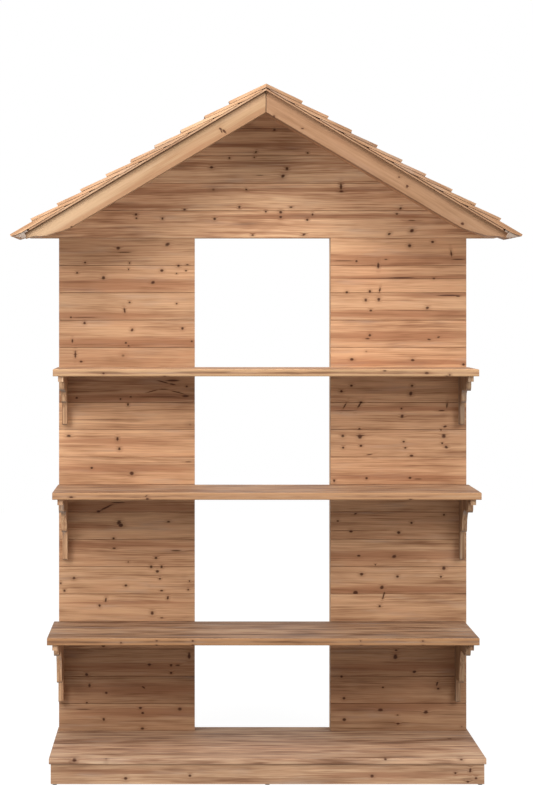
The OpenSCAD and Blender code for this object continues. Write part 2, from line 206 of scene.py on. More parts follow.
class Graph:
    """A node tree that is written as expressions."""

    def __init__(self, tree: bpy.types.NodeTree) -> None:
        """Empty a tree and take it over.

        Args:
            tree: The tree of a material or of the world.
        """
        self.tree = tree
        tree.nodes.clear()

    @staticmethod
    def of_material(name: str) -> tuple[bpy.types.Material, Graph]:
        """A new material and its graph.

        Args:
            name: Name of the material.

        Returns:
            The material and the graph.
        """
        material = bpy.data.materials.new(name)
        material.use_nodes = True
        return material, Graph(material.node_tree)

    def add(
        self,
        kind: str,
        settings: Optional[Mapping[str, object]] = None,
        inputs: Optional[Mapping[Union[str, int], Operand]] = None,
        output: Union[str, int] = 0,
    ) -> Signal:
        """Add one node.

        Args:
            kind: Type of the node.
            settings: Its properties, set first; "stops" are a ramp's places and colours.
            inputs: Value or signal of each socket.
            output: Output to return.

        Returns:
            The chosen output.
        """
        node = self.tree.nodes.new(kind)
        for name, value in (settings or {}).items():
            if name == "stops":
                self._set_stops(node.color_ramp, value)
            else:
                setattr(node, name, value)
        for key, value in (inputs or {}).items():
            self._plug(node.inputs[key], value)
        return Signal(self, node.outputs[output])

    def end(self, kind: str, inputs: Mapping[str, Signal]) -> None:
        """Add the output node of the tree.

        Args:
            kind: Type of the node.
            inputs: Signal of each socket.
        """
        node = self.tree.nodes.new(kind)
        for name, value in inputs.items():
            self._plug(node.inputs[name], value)

    @staticmethod
    def _set_stops(ramp: bpy.types.ColorRamp, stops: Sequence[tuple[float, Colour]]) -> None:
        """Give a ramp its stops.

        Args:
            ramp: The ramp.
            stops: Place and colour of each stop, in order.
        """
        while len(ramp.elements) < len(stops):
            ramp.elements.new(1.0)
        for element, (place, colour) in zip(ramp.elements, stops):
            element.position = place
            element.color = colour

    def _plug(self, socket: bpy.types.NodeSocket, value: Operand) -> None:
        """Link or set one input.

        Args:
            socket: The input.
            value: A signal to link, or the number or numbers to set.
        """
        if isinstance(value, Signal):
            self.tree.links.new(value.socket, socket)
        elif socket.type == "VECTOR" and isinstance(value, (int, float)):
            socket.default_value = (value, value, value)
        elif socket.type == "RGBA" and isinstance(value, (int, float)):
            socket.default_value = (value, value, value, 1.0)
        elif socket.type == "RGBA" and len(value) == 3:
            socket.default_value = (*value, 1.0)
        else:
            socket.default_value = value

    def combine(self, operation: str, *operands: Operand) -> Signal:
        """Work on operands with the node that keeps their kind.

        Args:
            operation: Name of the operation, as the Math node has it.
            operands: One or two operands.

        Returns:
            The result.
        """
        kinds = [kind_of(operand) for operand in operands]
        if Kind.COLOR in kinds:
            return self.mix(1.0, operands[0], operands[1], operation)
        node = "ShaderNodeVectorMath" if Kind.VECTOR in kinds else "ShaderNodeMath"
        return self.add(node, {"operation": operation}, dict(enumerate(operands)))

    def mix(self, factor: Operand, first: Operand, second: Operand, blend: str = "MIX") -> Signal:
        """Mix two colours.

        Args:
            factor: Share of the second colour, or of the blend's effect.
            first: The lower colour.
            second: The upper colour.
            blend: How they are blended.

        Returns:
            The mixed colour.
        """
        return self.add(
            "ShaderNodeMix",
            {"data_type": "RGBA", "blend_type": blend},
            {0: factor, 6: first, 7: second},
            2,
        )

    def place(self) -> Signal:
        """The point on the piece, in metres."""
        return self.add("ShaderNodeTexCoord", None, None, "Object")

    def bump(self, height: Signal, strength: float, distance: float) -> Signal:
        """Normal of a surface with small heights on it.

        Args:
            height: The heights, as shares of the distance.
            strength: How much of them is seen.
            distance: Height of a share of 1, in metres.

        Returns:
            The normal.
        """
        inputs = {"Height": height, "Strength": strength, "Distance": distance}
        return self.add("ShaderNodeBump", None, inputs, "Normal")

    def surface(self, inputs: Mapping[str, Operand]) -> None:
        """End the graph of a material with its surface.

        Args:
            inputs: Value or signal of each socket of the surface.
        """
        shader = self.add("ShaderNodeBsdfPrincipled", None, inputs)
        self.end("ShaderNodeOutputMaterial", {"Surface": shader})

    def parts(self, colour: Signal) -> tuple[Signal, Signal, Signal]:
        """The red, green and blue of a colour."""
        red = self.add("ShaderNodeSeparateColor", None, {"Color": colour})
        return red, red.other("Green"), red.other("Blue")

    def vector(self, x: Operand, y: Operand, z: Operand) -> Signal:
        """A vector from its three parts."""
        return self.add("ShaderNodeCombineXYZ", None, {0: x, 1: y, 2: z})

    def cloud(self, place: Operand, detail: float = 2.0, rough: float = 0.5) -> Signal:
        """Soft noise between 0 and 1.

        Args:
            place: Where it is read, in noise cells.
            detail: Number of finer layers.
            rough: Weight of the finer layers.

        Returns:
            The noise.
        """
        return self.add(
            "ShaderNodeTexNoise",
            None,
            {"Vector": place, "Scale": 1.0, "Detail": detail, "Roughness": rough},
        )


Colour = tuple[float, float, float, float]


def tone(red: int, green: int, blue: int) -> Colour:
    """A colour from the three numbers that a screen shows.

    Args:
        red: Red, from 0 to 255.
        green: Green, from 0 to 255.
        blue: Blue, from 0 to 255.

    Returns:
        The same colour in linear light, with full alpha.
    """
    shown = [value / 255 for value in (red, green, blue)]
    linear = [v / 12.92 if v <= 0.04045 else ((v + 0.055) / 1.055) ** 2.4 for v in shown]
    return (linear[0], linear[1], linear[2], 1.0)


# ---------- the photograph's view ----------


@dataclass(frozen=True)
class PhotoView:
    """The eye of the photograph, and where its pixels lie in the room."""

    width_px: int = 533
    height_px: int = 800
    focal_px: float = 1925.6
    vanishing_column: float = 188.0
    vanishing_row: float = 306.0
    eye: Triple = (-0.225, -5.64875, 1.356)
    sensor_mm: float = 36.0

    def on_plane(self, column: float, row: float, y: float) -> Triple:
        """Point of an upright plane that a pixel shows.

        Args:
            column: Pixels from the left.
            row: Pixels from the top.
            y: Distance of the plane behind the origin.

        Returns:
            The point.
        """
        scale = (y - self.eye[1]) / self.focal_px
        x = self.eye[0] + (column - self.vanishing_column) * scale
        z = self.eye[2] - (row - self.vanishing_row) * scale
        return (x, y, z)

    def camera(self) -> bpy.types.Object:
        """The camera that stands at the eye.

        Returns:
            The camera object.
        """
        data = bpy.data.cameras.new("photo_camera")
        data.lens = self.focal_px / self.height_px * self.sensor_mm
        data.sensor_width = self.sensor_mm
        data.shift_x = (self.width_px / 2 - self.vanishing_column) / self.height_px
        data.shift_y = (self.vanishing_row - self.height_px / 2) / self.height_px
        camera = bpy.data.objects.new("photo_camera", data)
        camera.location = self.eye
        camera.rotation_euler = (math.radians(90), 0.0, 0.0)
        bpy.context.scene.collection.objects.link(camera)
        return camera


VIEW = PhotoView()


@dataclass(frozen=True)
class Mark:
    """A knot, nail hole, crack, streak or band that the photograph shows.

    Attributes:
        name: Its name.
        column: Pixels from the left.
        row: Pixels from the top.
        width: Its width, in millimetres.
        height: Its height, in millimetres.
        tilt: Its turn against the clock, in degrees.
    """

    name: str
    column: float
    row: float
    width: float
    height: float
    tilt: float = 0.0

    def height_of(self, y: float) -> float:
        """Height above the floor, on an upright plane at y."""
        return VIEW.on_plane(self.column, self.row, y)[2]

    def settings(self, y: float, depth: float) -> dict[str, Triple]:
        """Place, turn and radii of the mark on an upright plane.

        Args:
            y: Distance of the plane behind the origin.
            depth: How far the mark reaches into the wood, in metres.

        Returns:
            Values for the sockets of a Mapping node.
        """
        return {
            "Location": VIEW.on_plane(self.column, self.row, y),
            "Rotation": (0.0, -math.radians(self.tilt), 0.0),
            "Scale": (self.width / 2 * MM, depth, self.height / 2 * MM),
        }


def marks_at(**places: Sequence[float]) -> tuple[Mark, ...]:
    """Marks that are named by keyword.

    Args:
        places: Column, row, width, height and, where it has one, tilt of each mark.

    Returns:
        The marks.
    """
    return tuple(Mark(name, *place) for name, place in places.items())


# ---------- finishes ----------

# lengths and breadths of the wood's features, in metres, and cells for knots in a metre
STREAK_LENGTH = 0.4
HAIR_LENGTH = 0.16
FIBRE_LENGTH = 0.05
FIBRE_BREADTH = 0.0016
BLOTCH_LENGTH = 0.16
BLOTCH_BREADTH = 0.045
YEAR_BREADTH = 0.0032
JOINT_BREADTH = 0.0016
SEAM_SOFTNESS = 0.001
RELIEF = 0.0008
KNOT_CELLS = (11.0, 14.0, 6.0)
# how a mesh's value numbers its boards: in steps of one part in 89, spread out again by 97
LOT_STEPS = 89
LOT_SPREAD = 97.0


def slope_ways(side: int) -> tuple[Triple, Triple]:
    """Directions up a slope and square to it.

    Args:
        side: -1 on the left, 1 on the right.

    Returns:
        The two directions.
    """
    up = (-side * math.cos(PITCH), 0.0, math.sin(PITCH))
    out = (side * math.sin(PITCH), 0.0, math.cos(PITCH))
    return up, out


LEFT_UP, LEFT_OUT = slope_ways(-1)
RIGHT_UP, RIGHT_OUT = slope_ways(1)


class Grain(Enum):
    """Directions along, across and through the boards of a piece."""

    WALL = (RIGHTWARD, UPWARD, BACKWARD)
    SHELF = (RIGHTWARD, BACKWARD, UPWARD)
    BEAM = (BACKWARD, UPWARD, RIGHTWARD)
    POST = (UPWARD, RIGHTWARD, BACKWARD)
    BRACKET = (UPWARD, BACKWARD, RIGHTWARD)
    LEFT_RAFTER = (LEFT_UP, LEFT_OUT, BACKWARD)
    RIGHT_RAFTER = (RIGHT_UP, RIGHT_OUT, BACKWARD)
    LEFT_SLOPE = (LEFT_UP, BACKWARD, LEFT_OUT)
    RIGHT_SLOPE = (RIGHT_UP, BACKWARD, RIGHT_OUT)

    @staticmethod
    def rafter(side: int) -> Grain:
        """Grain of a rafter on the left (-1) or on the right (1)."""
        return Grain.LEFT_RAFTER if side < 0 else Grain.RIGHT_RAFTER

    @staticmethod
    def slope(side: int) -> Grain:
        """Grain of a board that lies on the left (-1) or on the right (1) slope."""
        return Grain.LEFT_SLOPE if side < 0 else Grain.RIGHT_SLOPE


@dataclass(frozen=True)
class Boards:
    """How a piece is divided into boards.

    Attributes:
        cover: Width of one board, or 0 where the piece is one board.
        origin: Where the first board starts, across the grain.
        lot: Name of the mesh's value that numbers its boards, if it has one.
    """

    cover: float = 0.0
    origin: float = 0.0
    lot: str = ""


@dataclass(frozen=True)
class Seen:
    """Marks and bands that the photograph shows on a piece.

    Attributes:
        plane: Distance behind the origin of the upright plane that they are seen on.
        marks: Knots and holes.
        bands: Brown bands, some of them painted shade below shelves and along an edge.
        depth: How far they reach into the wood.
    """

    plane: float = 0.0
    marks: Sequence[Mark] = ()
    bands: Sequence[Mark] = ()
    depth: float = 1.0

    def nearest(self, graph: Graph, place: Signal, marks: Sequence[Mark]) -> Optional[Signal]:
        """Distance to the nearest mark, where 1 is its edge.

        Args:
            graph: The material's graph.
            place: The point on the piece.
            marks: The marks.

        Returns:
            The distance, or None where there are no marks.
        """
        least: Optional[Signal] = None
        for mark in marks:
            local = graph.add(
                "ShaderNodeMapping",
                {"vector_type": "TEXTURE", "label": mark.name},
                {"Vector": place, **mark.settings(self.plane, self.depth)},
            )
            reach = local.length()
            least = reach if least is None else least.least(reach)
        return least


@dataclass(frozen=True)
class PaintedLightFront:
    """Painted light: a front edge lighter than the shelf's top, with a brown line along its middle.

    Attributes:
        face: Where the front lies, along +Y.
        low: Height of its lower arris.
        high: Height of its upper arris.
        colour: Painted lighter colour of the front.
        strength: Share of that colour.
    """

    face: float
    low: float
    high: float
    colour: Colour
    strength: float = 0.8

    def share(self, place: Signal, thin: Signal) -> Signal:
        """How much of its colour each point takes.

        Args:
            place: The point on the piece.
            thin: Fine streaks that break the line.

        Returns:
            The share.
        """
        depth = place.dot(BACKWARD) - self.face
        rise = (place.dot(UPWARD) - self.low) / (self.high - self.low)
        line = (abs(rise - 0.5) + 0.3 * (thin - 0.5)).smooth(0.08, 0.2)
        near = depth.smooth(0.004, 0.0015)
        return near * (0.25 + 0.75 * line) * self.strength


@dataclass(frozen=True)
class LitTailShadowSeam:
    """A rafter board painted paler at its lower end as painted light, with a dark seam of painted
    shadow along its upper edge.

    Attributes:
        seam: Height of the upper edge, across the grain.
        seam_width: Width of the painted shadow seam.
        near: Place along the grain of the lower end.
        far: Place along the grain where the wood has its own colour.
        pale: Colour of the painted light at the lower end.
        strength: Share of that colour at the lower end.
        seam_share: Darkness of the painted shadow seam.
    """

    seam: float
    seam_width: float = 0.0035
    near: float = 0.25
    far: float = 0.8
    pale: Colour = tone(208, 178, 144)
    strength: float = 0.3
    seam_share: float = 0.7

    def painted_light_share(self, along: Signal) -> Signal:
        """Share of the painted light, by the place along the grain."""
        return along.smooth(self.far, self.near) * self.strength

    def painted_shadow_share(self, across: Signal, thin: Signal) -> Signal:
        """Share of the painted shadow seam, by the place across the grain and broken by fine
        streaks.
        """
        start = self.seam - self.seam_width
        rough = across + SEAM_SOFTNESS * (thin - 0.5)
        return rough.smooth(start - SEAM_SOFTNESS, start + SEAM_SOFTNESS) * self.seam_share


class Timber:
    """Wood of one piece: where its points lay in the log, and the streaks that run there.

    Attributes:
        graph: The material's graph.
        seed: Number that sets this piece's wood apart from the others'.
        place: The point on the piece.
        along: Its place along the grain.
        across: Its place across the grain.
        through: Its place through the board.
        board: Its place across the boards, counted in boards.
        chance: Three values between 0 and 1 that each board draws for itself.
        log_along: Its place along the log.
        log_through: Its place through the log.
        sway: Slow noise that the grain follows.
        spots: Distance to the nearest mark, if the piece has marks.
        ply: Its place across the log's grain, which sways and bends round the marks.
        streak: Broad streaks.
        thin: Fine streaks.
        fibre: The finest streaks.
        blotch: Broad patches.
        line: Thin late-wood lines.
        weather: Patches of weathering.
    """

    def __init__(
        self, graph: Graph, fir: Fir, grain: Grain, seed: float, boards: Boards, seen: Seen
    ) -> None:
        """Work out what the parts of a finish share.

        Args:
            graph: The material's graph.
            fir: The finish.
            grain: Directions of the piece's grain.
            seed: Number that sets this piece's wood apart from the others'.
            boards: How the piece is divided into boards.
            seen: Its marks and bands.
        """
        self.graph = graph
        self.seed = seed
        self.place = graph.place()
        self.along, self.across, self.through = (self.place.dot(axis) for axis in grain.value)
        cover = boards.cover
        self.board = (self.across - boards.origin) / cover if cover else self.across * 0.0
        self.chance = self._chances(boards.lot)

        # each board is cut from another part of the log
        self.log_along = self.along + 9.0 * self.chance[0]
        self.log_through = self.through + 5.0 * self.chance[2]
        bends = graph.vector(self.log_along * 1.5, self.across * 7.0, self.log_through * 7.0)
        self.sway = graph.cloud(bends, 1.0)
        self.spots = seen.nearest(graph, self.place, seen.marks)
        bend = 0.03 * (self.sway - 0.5) + 1.7 * self.chance[1]
        if self.spots is not None:
            bend = bend + 0.003 * self.spots.smooth(3.2, 0.8)
        self.ply = self.across + bend

        self.streak = self._grained(STREAK_LENGTH, fir.streak, 3.0)
        self.thin = self._grained(HAIR_LENGTH, fir.hair, 2.0)
        self.fibre = self._grained(FIBRE_LENGTH, FIBRE_BREADTH, 1.0)
        self.blotch = self._grained(BLOTCH_LENGTH, BLOTCH_BREADTH, 2.0)
        ring = self.ply / (fir.streak * 0.5) + 4.0 * self.streak
        self.line = ring.wave() ** 4.0 * self.thin.smooth(0.42, 0.62)
        patches = graph.vector(self.log_along * 5.0, self.across * 40.0, self.through * 40.0)
        self.weather = graph.cloud(patches, 3.0, 0.6)

    def _chances(self, lot: str) -> tuple[Signal, Signal, Signal]:
        """Draw three values between 0 and 1 for each board.

        Args:
            lot: Name of the mesh's value that numbers the boards, if it has one.

        Returns:
            The values.
        """
        number = self.board.floor()
        if lot:
            share = self.graph.add("ShaderNodeAttribute", {"attribute_name": lot}, None, "Fac")
            number = share * LOT_SPREAD
        inputs = {"W": number + self.seed}
        draw = self.graph.add(
            "ShaderNodeTexWhiteNoise", {"noise_dimensions": "1D"}, inputs, "Color"
        )
        return self.graph.parts(draw)

    def _grained(self, length: float, breadth: float, detail: float) -> Signal:
        """Noise that is drawn out along the grain.

        Args:
            length: Length of its cells.
            breadth: Breadth of its cells.
            detail: Number of finer layers.

        Returns:
            The noise.
        """
        cells = self.graph.vector(
            self.log_along / length, self.ply / breadth, self.log_through / breadth
        )
        return self.graph.cloud(cells, detail, 0.6)

    def joints(self, cover: float) -> Signal:
        """Darker colour along the joints between boards.

        Args:
            cover: Width of one board.

        Returns:
            Share of the darker colour.
        """
        edge = abs(self.board - self.board.floor() - 0.5) * (-cover) + cover / 2
        joint_darkening = (edge + 0.0012 * (self.fibre - 0.5)).smooth(JOINT_BREADTH, JOINT_BREADTH / 4)
        return joint_darkening * (0.1 + 0.36 * self.chance[2])


@dataclass(frozen=True)
class Fir:
    """Oiled reclaimed fir: streaked grain, dark knots and nail holes, darker end grain.

    Attributes:
        light: Colour of the early wood.
        body: Colour between.
        dark: Colour of the late wood.
        straw: Colour of the palest streaks.
        ruddy: Tint of the boards that have reddened.
        knot: Colour of knots and nail holes.
        end: Colour of end grain.
        grey: Colour of weathered wood.
        streak: Breadth of the broad streaks, in metres.
        hair: Breadth of the fine streaks, in metres.
        fine: Strength of the fine streaks.
        contrast: Strength of the thin late-wood lines.
        spread: Difference between one board and the next.
        knots: Share of the wood's cells that hold a knot.
        weathered: Share of grey over the surface.
        shade: Brightness of the whole piece, which on wall lots, shelves and brackets holds painted
            light and shade.
    """

    light: Colour = tone(198, 156, 119)
    body: Colour = tone(178, 136, 101)
    dark: Colour = tone(139, 97, 68)
    straw: Colour = tone(212, 174, 132)
    ruddy: Colour = tone(226, 200, 190)
    knot: Colour = tone(66, 32, 14)
    end: Colour = tone(150, 122, 100)
    grey: Colour = tone(160, 150, 141)
    streak: float = 0.014
    hair: float = 0.0036
    fine: float = 0.42
    contrast: float = 0.11
    spread: float = 0.14
    knots: float = 0.45
    weathered: float = 0.08
    shade: float = 1.0

    def material(
        self,
        name: str,
        grain: Grain,
        seed: float,
        boards: Boards = Boards(),
        seen: Seen = Seen(),
        front: Optional[PaintedLightFront] = None,
        tail: Optional[LitTailShadowSeam] = None,
    ) -> bpy.types.Material:
        """Make the material of one piece.

        Args:
            name: Name of the material.
            grain: Directions of the piece's grain.
            seed: Number that sets this piece's wood apart from the others'.
            boards: How the piece is divided into boards.
            seen: Marks and bands that the photograph shows on it.
            front: Its front edge with painted light, if it has one.
            tail: Its painted light at the lower end and painted shadow seam along the upper edge,
                if it has them.

        Returns:
            The material.
        """
        material, graph = Graph.of_material(name)
        timber = Timber(graph, self, grain, seed, boards, seen)
        thin, fibre = timber.thin, timber.fibre

        colour = self._clean(timber)
        # painted light: the front edge is made lighter than the top
        if front is not None:
            colour = graph.mix(front.share(timber.place, thin), colour, front.colour)
        # painted light: a paler lower end
        if tail is not None:
            colour = graph.mix(tail.painted_light_share(timber.along), colour, tail.pale)
        colour = self._banded(timber, colour, seen)
        hole, halo = self._knots(timber)
        colour = graph.mix(halo * 0.34, colour, self.dark)

        normal = graph.add("ShaderNodeNewGeometry", None, None, "True Normal")
        cut = abs(normal.dot(grain.value[0])).smooth(0.55, 0.85)
        colour = graph.mix(cut, colour, self._end_grain(timber))
        colour = graph.mix(hole * (1.0 - cut) * 0.94, colour, self.knot)
        # painted shadow: a dark seam along the upper edge
        if tail is not None:
            colour = graph.mix(tail.painted_shadow_share(timber.across, thin), colour, self.knot)
        if boards.cover:
            colour = graph.mix(timber.joints(boards.cover), colour, self.knot)

        # holes and thin late-wood lines are sunk a little
        sunk = 0.8 * timber.line * self.contrast
        relief = 0.5 * fibre + 0.35 * thin - sunk - 1.2 * hole + 0.3 * timber.streak
        graph.surface(
            {
                "Base Color": colour,
                "Roughness": 0.6 + 0.16 * fibre + 0.1 * cut,
                "Specular IOR Level": 0.22,
                "Normal": graph.bump(relief, 0.45, RELIEF),
            }
        )
        return material

    def _clean(self, timber: Timber) -> Signal:
        """Colour of the wood without its knots, streaked, reddened and weathered.

        Args:
            timber: The wood of the piece.

        Returns:
            The colour.
        """
        graph, thin, blotch = timber.graph, timber.thin, timber.blotch
        figure = 0.5 * (timber.streak - 0.5) + self.fine * (thin - 0.5) + 0.36 * (blotch - 0.5)
        stops = ((0.32, self.dark), (0.46, self.body), (0.57, self.light), (0.72, self.straw))
        share = figure + 0.16 * (timber.fibre - 0.5) + 0.5
        colour = graph.add("ShaderNodeValToRGB", {"stops": stops}, {"Fac": share})
        red_share = timber.chance[1] * 0.35 + 0.9 * (blotch.smooth(0.45, 0.75) * thin)
        colour = graph.mix(red_share * 0.75, colour, self.ruddy, "MULTIPLY")
        middle = 1.0 - self.spread / 2
        level = middle + self.spread * timber.chance[0] - self.contrast * timber.line
        # the shade sets the piece's brightness; on wall lots, shelves and brackets it holds painted
        # light and shade
        level = level * self.shade
        colour = graph.mix(1.0, colour, graph.vector(level, level, level), "MULTIPLY")
        grey_share = timber.weather.smooth(0.5, 0.8) * self.weathered * 3.0
        return graph.mix(grey_share, colour, self.grey)

    def _banded(self, timber: Timber, colour: Signal, seen: Seen) -> Signal:
        """Lay the brown bands over a colour, some of them painted shade.

        Args:
            timber: The wood of the piece.
            colour: The colour.
            seen: The piece's marks and bands.

        Returns:
            The colour with the bands.
        """
        graph = timber.graph
        band = seen.nearest(graph, timber.place, seen.bands)
        if band is None:
            return colour
        rough = band + 1.1 * (timber.sway - 0.5) + 1.2 * (timber.thin - 0.5)
        tinted = graph.mix(0.5, graph.mix(1.0, colour, self.ruddy, "MULTIPLY"), self.dark)
        return graph.mix(rough.smooth(1.6, 0.5) * 0.75, colour, tinted)

    def _knots(self, timber: Timber) -> tuple[Signal, Signal]:
        """Scattered knots and holes, with those that the photograph shows.

        Args:
            timber: The wood of the piece.

        Returns:
            The knots themselves, and the darker wood round them.
        """
        graph, seed, fibre = timber.graph, timber.seed, timber.fibre
        along, across, through = KNOT_CELLS
        place = graph.vector(
            (timber.along + 3.0 * timber.chance[2]) * along + seed,
            timber.across * across + seed,
            timber.through * through,
        )
        cells = graph.add(
            "ShaderNodeTexVoronoi",
            {"voronoi_dimensions": "3D", "feature": "F1"},
            {"Vector": place, "Scale": 1.0},
        )
        presence, size, _ = graph.parts(cells.other("Color"))
        there = presence.smooth(self.knots + 0.01, self.knots - 0.01)
        reach = (cells + 0.03 * (fibre - 0.5)) / (0.035 + 0.055 * size)
        hole = reach.smooth(1.3, 0.7) * there
        halo = reach.smooth(3.4, 1.0) * there
        if timber.spots is not None:
            rough_edge = timber.spots + 0.9 * (timber.thin - 0.5) + 0.4 * (fibre - 0.5)
            hole = hole.most(rough_edge.smooth(1.25, 0.45))
            halo = halo.most(timber.spots.smooth(3.4, 0.9))
        return hole, halo

    def _end_grain(self, timber: Timber) -> Signal:
        """Colour of the cut ends, where the year rings show.

        Args:
            timber: The wood of the piece.

        Returns:
            The colour.
        """
        graph, weather = timber.graph, timber.weather
        centre = graph.vector(timber.ply, timber.log_through, 0.0)
        rings = centre.length() / YEAR_BREADTH + 2.0 * timber.streak
        end = graph.mix(rings.wave() * 0.45 + 0.35 * weather, self.end, self.dark)
        return graph.mix(weather.smooth(0.35, 0.7) * (0.25 + self.weathered), end, self.grey)


@dataclass(frozen=True)
class Metal:
    """Zinc-plated screw steel with faint draw marks."""

    colour: Colour = tone(176, 178, 182)
    dull: Colour = tone(120, 120, 118)

    def material(self, name: str) -> bpy.types.Material:
        """Make the material.

        Args:
            name: Name of the material.

        Returns:
            The material.
        """
        material, graph = Graph.of_material(name)
        place = graph.place()
        haze = graph.cloud(place * (900.0, 300.0, 900.0), 3.0)
        colour = graph.mix(haze * 0.5, self.colour, self.dull)
        graph.surface(
            {
                "Base Color": colour,
                "Metallic": 1.0,
                "Roughness": 0.28 + 0.2 * haze,
                "Normal": graph.bump(haze, 0.2, 0.0002),
            }
        )
        return material


@dataclass(frozen=True)
class GlidePlastic:
    """Dark grey moulded plastic with a fine spark-eroded skin."""

    colour: Colour = tone(92, 88, 84)
    scuffed: Colour = tone(128, 122, 115)

    def material(self, name: str) -> bpy.types.Material:
        """Make the material.

        Args:
            name: Name of the material.

        Returns:
            The material.
        """
        material, graph = Graph.of_material(name)
        place = graph.place()
        skin = graph.cloud(place * 2200.0, 2.0)
        scuff = graph.cloud(place * 120.0, 3.0).smooth(0.5, 0.75)
        colour = graph.mix(scuff * 0.4, self.colour, self.scuffed)
        graph.surface(
            {
                "Base Color": colour,
                "Roughness": 0.5 + 0.2 * scuff,
                "Normal": graph.bump(skin, 0.25, 0.0001),
            }
        )
        return material


WALL_FIR = Fir()
GABLE_FIR = Fir(
    light=tone(192, 156, 121), body=tone(168, 128, 96), dark=tone(124, 86, 60),
    straw=tone(206, 172, 136), knots=0.06, shade=1.12,
)
SHELF_FIR = Fir(
    light=tone(188, 150, 117), body=tone(160, 121, 91), dark=tone(112, 78, 56),
    straw=tone(204, 168, 132), streak=0.032, hair=0.013, fine=0.85, knots=0.08, spread=0.3,
    weathered=0.14,
)
DECK_FIR = Fir(
    light=tone(186, 151, 121), body=tone(160, 124, 97), dark=tone(116, 82, 60),
    straw=tone(202, 170, 138), shade=0.95, streak=0.032, hair=0.011, fine=0.85, knots=0.08,
    spread=0.24, weathered=0.12,
)
BASE_FIR = Fir(
    light=tone(194, 160, 127), body=tone(170, 134, 103), dark=tone(128, 92, 67),
    straw=tone(212, 180, 144), streak=0.02, knots=0.1,
)
LEFT_BARGE_FIR = Fir(
    light=tone(178, 146, 112), body=tone(170, 138, 104), dark=tone(152, 115, 82),
    straw=tone(190, 159, 124), streak=0.02, fine=0.3, contrast=0.05, knots=0.03, weathered=0.03,
    spread=0.04,
)
RIGHT_BARGE_FIR = Fir(
    light=tone(154, 118, 88), body=tone(145, 109, 79), dark=tone(128, 92, 64),
    straw=tone(163, 128, 97), streak=0.02, fine=0.3, contrast=0.05, knots=0.03, weathered=0.03,
    spread=0.04,
)
SOFFIT_FIR = Fir(
    light=tone(200, 160, 122), body=tone(184, 142, 106), dark=tone(150, 108, 76), knots=0.06,
    weathered=0.04, spread=0.06,
)
BRACKET_FIR = Fir(
    light=tone(200, 164, 128), body=tone(172, 133, 100), dark=tone(122, 86, 62), streak=0.008,
    knots=0.04, weathered=0.2, end=tone(138, 122, 108),
)
FRAME_FIR = Fir(
    light=tone(214, 180, 140), body=tone(196, 158, 118), dark=tone(160, 118, 82), knots=0.16
)
LEFT_DECK_SHEET = Fir(
    light=tone(180, 148, 118), body=tone(164, 130, 101), dark=tone(126, 92, 68), knots=0.05
)
RIGHT_DECK_SHEET = Fir(
    light=tone(172, 136, 104), body=tone(160, 124, 94), dark=tone(134, 98, 70),
    straw=tone(184, 150, 118), knots=0.05,
)
STRIP_FIR = Fir(
    light=tone(190, 156, 126), body=tone(164, 130, 104), dark=tone(120, 92, 72), knots=0.04,
    weathered=0.3, end=tone(150, 134, 120),
)
LEFT_SHINGLE_FIR = Fir(
    light=tone(204, 166, 130), body=tone(188, 148, 112), dark=tone(146, 106, 76),
    straw=tone(216, 182, 148), streak=0.007, contrast=0.2, spread=0.2, knots=0.02, weathered=0.12,
)
RIGHT_SHINGLE_FIR = Fir(
    light=tone(166, 130, 99), body=tone(150, 113, 82), dark=tone(118, 83, 58),
    straw=tone(180, 146, 113), streak=0.007, contrast=0.2, spread=0.2, knots=0.02, weathered=0.12,
)

# brightness of each shelf from the lowest up, as painted shade that darkens each shelf and most of
# all the lowest, and the painted lighter colour of its front edge
SHELF_PAINTED_SHADE = (0.7, 0.92, 1.04)
SHELF_FRONT_PAINTED_LIGHT = (tone(168, 123, 83), tone(174, 131, 93), tone(216, 174, 129))
# brightness of each lot of wall boards, from the plinth up: each lot's own tone, with painted shade
# on the lowest lot below the lowest shelf
LOT_TONE_AND_PAINTED_SHADE = {
    "left": (0.8, 0.96, 0.97, 1.14, 0.84, 0.93),
    "right": (0.77, 0.95, 0.97, 1.02, 1.04, 1.02),
}
# painted light on the left brackets and painted shade on the right ones, as the key light falls
# from the left
BRACKET_PAINTED_LIGHT_AND_SHADE = {"left": 1.12, "right": 0.64}


# ---------- marks that the photograph shows: column, row, width, height and tilt ----------

GABLE_MARKS = marks_at(
    below_ridge=(274.4, 129.8, 9, 6),
    third_board_left=(229.4, 157.9, 7, 7),
    third_board_middle=(254.3, 157.4, 6, 5),
    joint_middle=(256.0, 151.9, 8, 6, 30),
    joint_right=(307.7, 153.0, 7, 6),
    second_board_left=(211.5, 167.3, 11, 9),
    second_board_middle=(287.0, 168.6, 10, 9),
    second_board_large=(283.0, 176.1, 14, 11, 40),
    short_line=(260.0, 175.3, 26, 2),
    first_row_small=(246.3, 189.4, 9, 6, -20),
    right_upright=(341.0, 186.6, 9, 20),
    right_foot=(341.4, 191.2, 14, 7),
    low_joint_left=(239.4, 207.0, 8, 8, 40),
    low_joint_right=(291.0, 207.3, 11, 5),
    pair_upper=(280.7, 212.1, 10, 9),
    pair_lower=(280.7, 217.1, 9, 8),
    pair_faint=(265.8, 211.7, 7, 6),
    low_left=(214.7, 218.9, 9, 9),
    low_right_upper=(312.6, 214.5, 7, 8),
    low_right=(307.3, 219.8, 8, 8),
    foot_left=(252.6, 235.2, 9, 6),
    foot_right=(303.9, 234.6, 12, 7, 15),
    left_pair_upper=(136.0, 214.5, 9, 8),
    left_pair_lower=(136.5, 218.2, 7, 5),
    left_single=(162.5, 218.7, 8, 8),
    left_joint=(184.6, 209.4, 9, 6),
    right_upper=(400.6, 208.2, 9, 7, 30),
    right_second=(396.9, 213.8, 9, 6),
    right_large=(411.9, 230.8, 14, 11, 35),
    right_low=(389.3, 234.0, 11, 7, 25),
    right_streak=(412.0, 220.4, 26, 2.5),
)
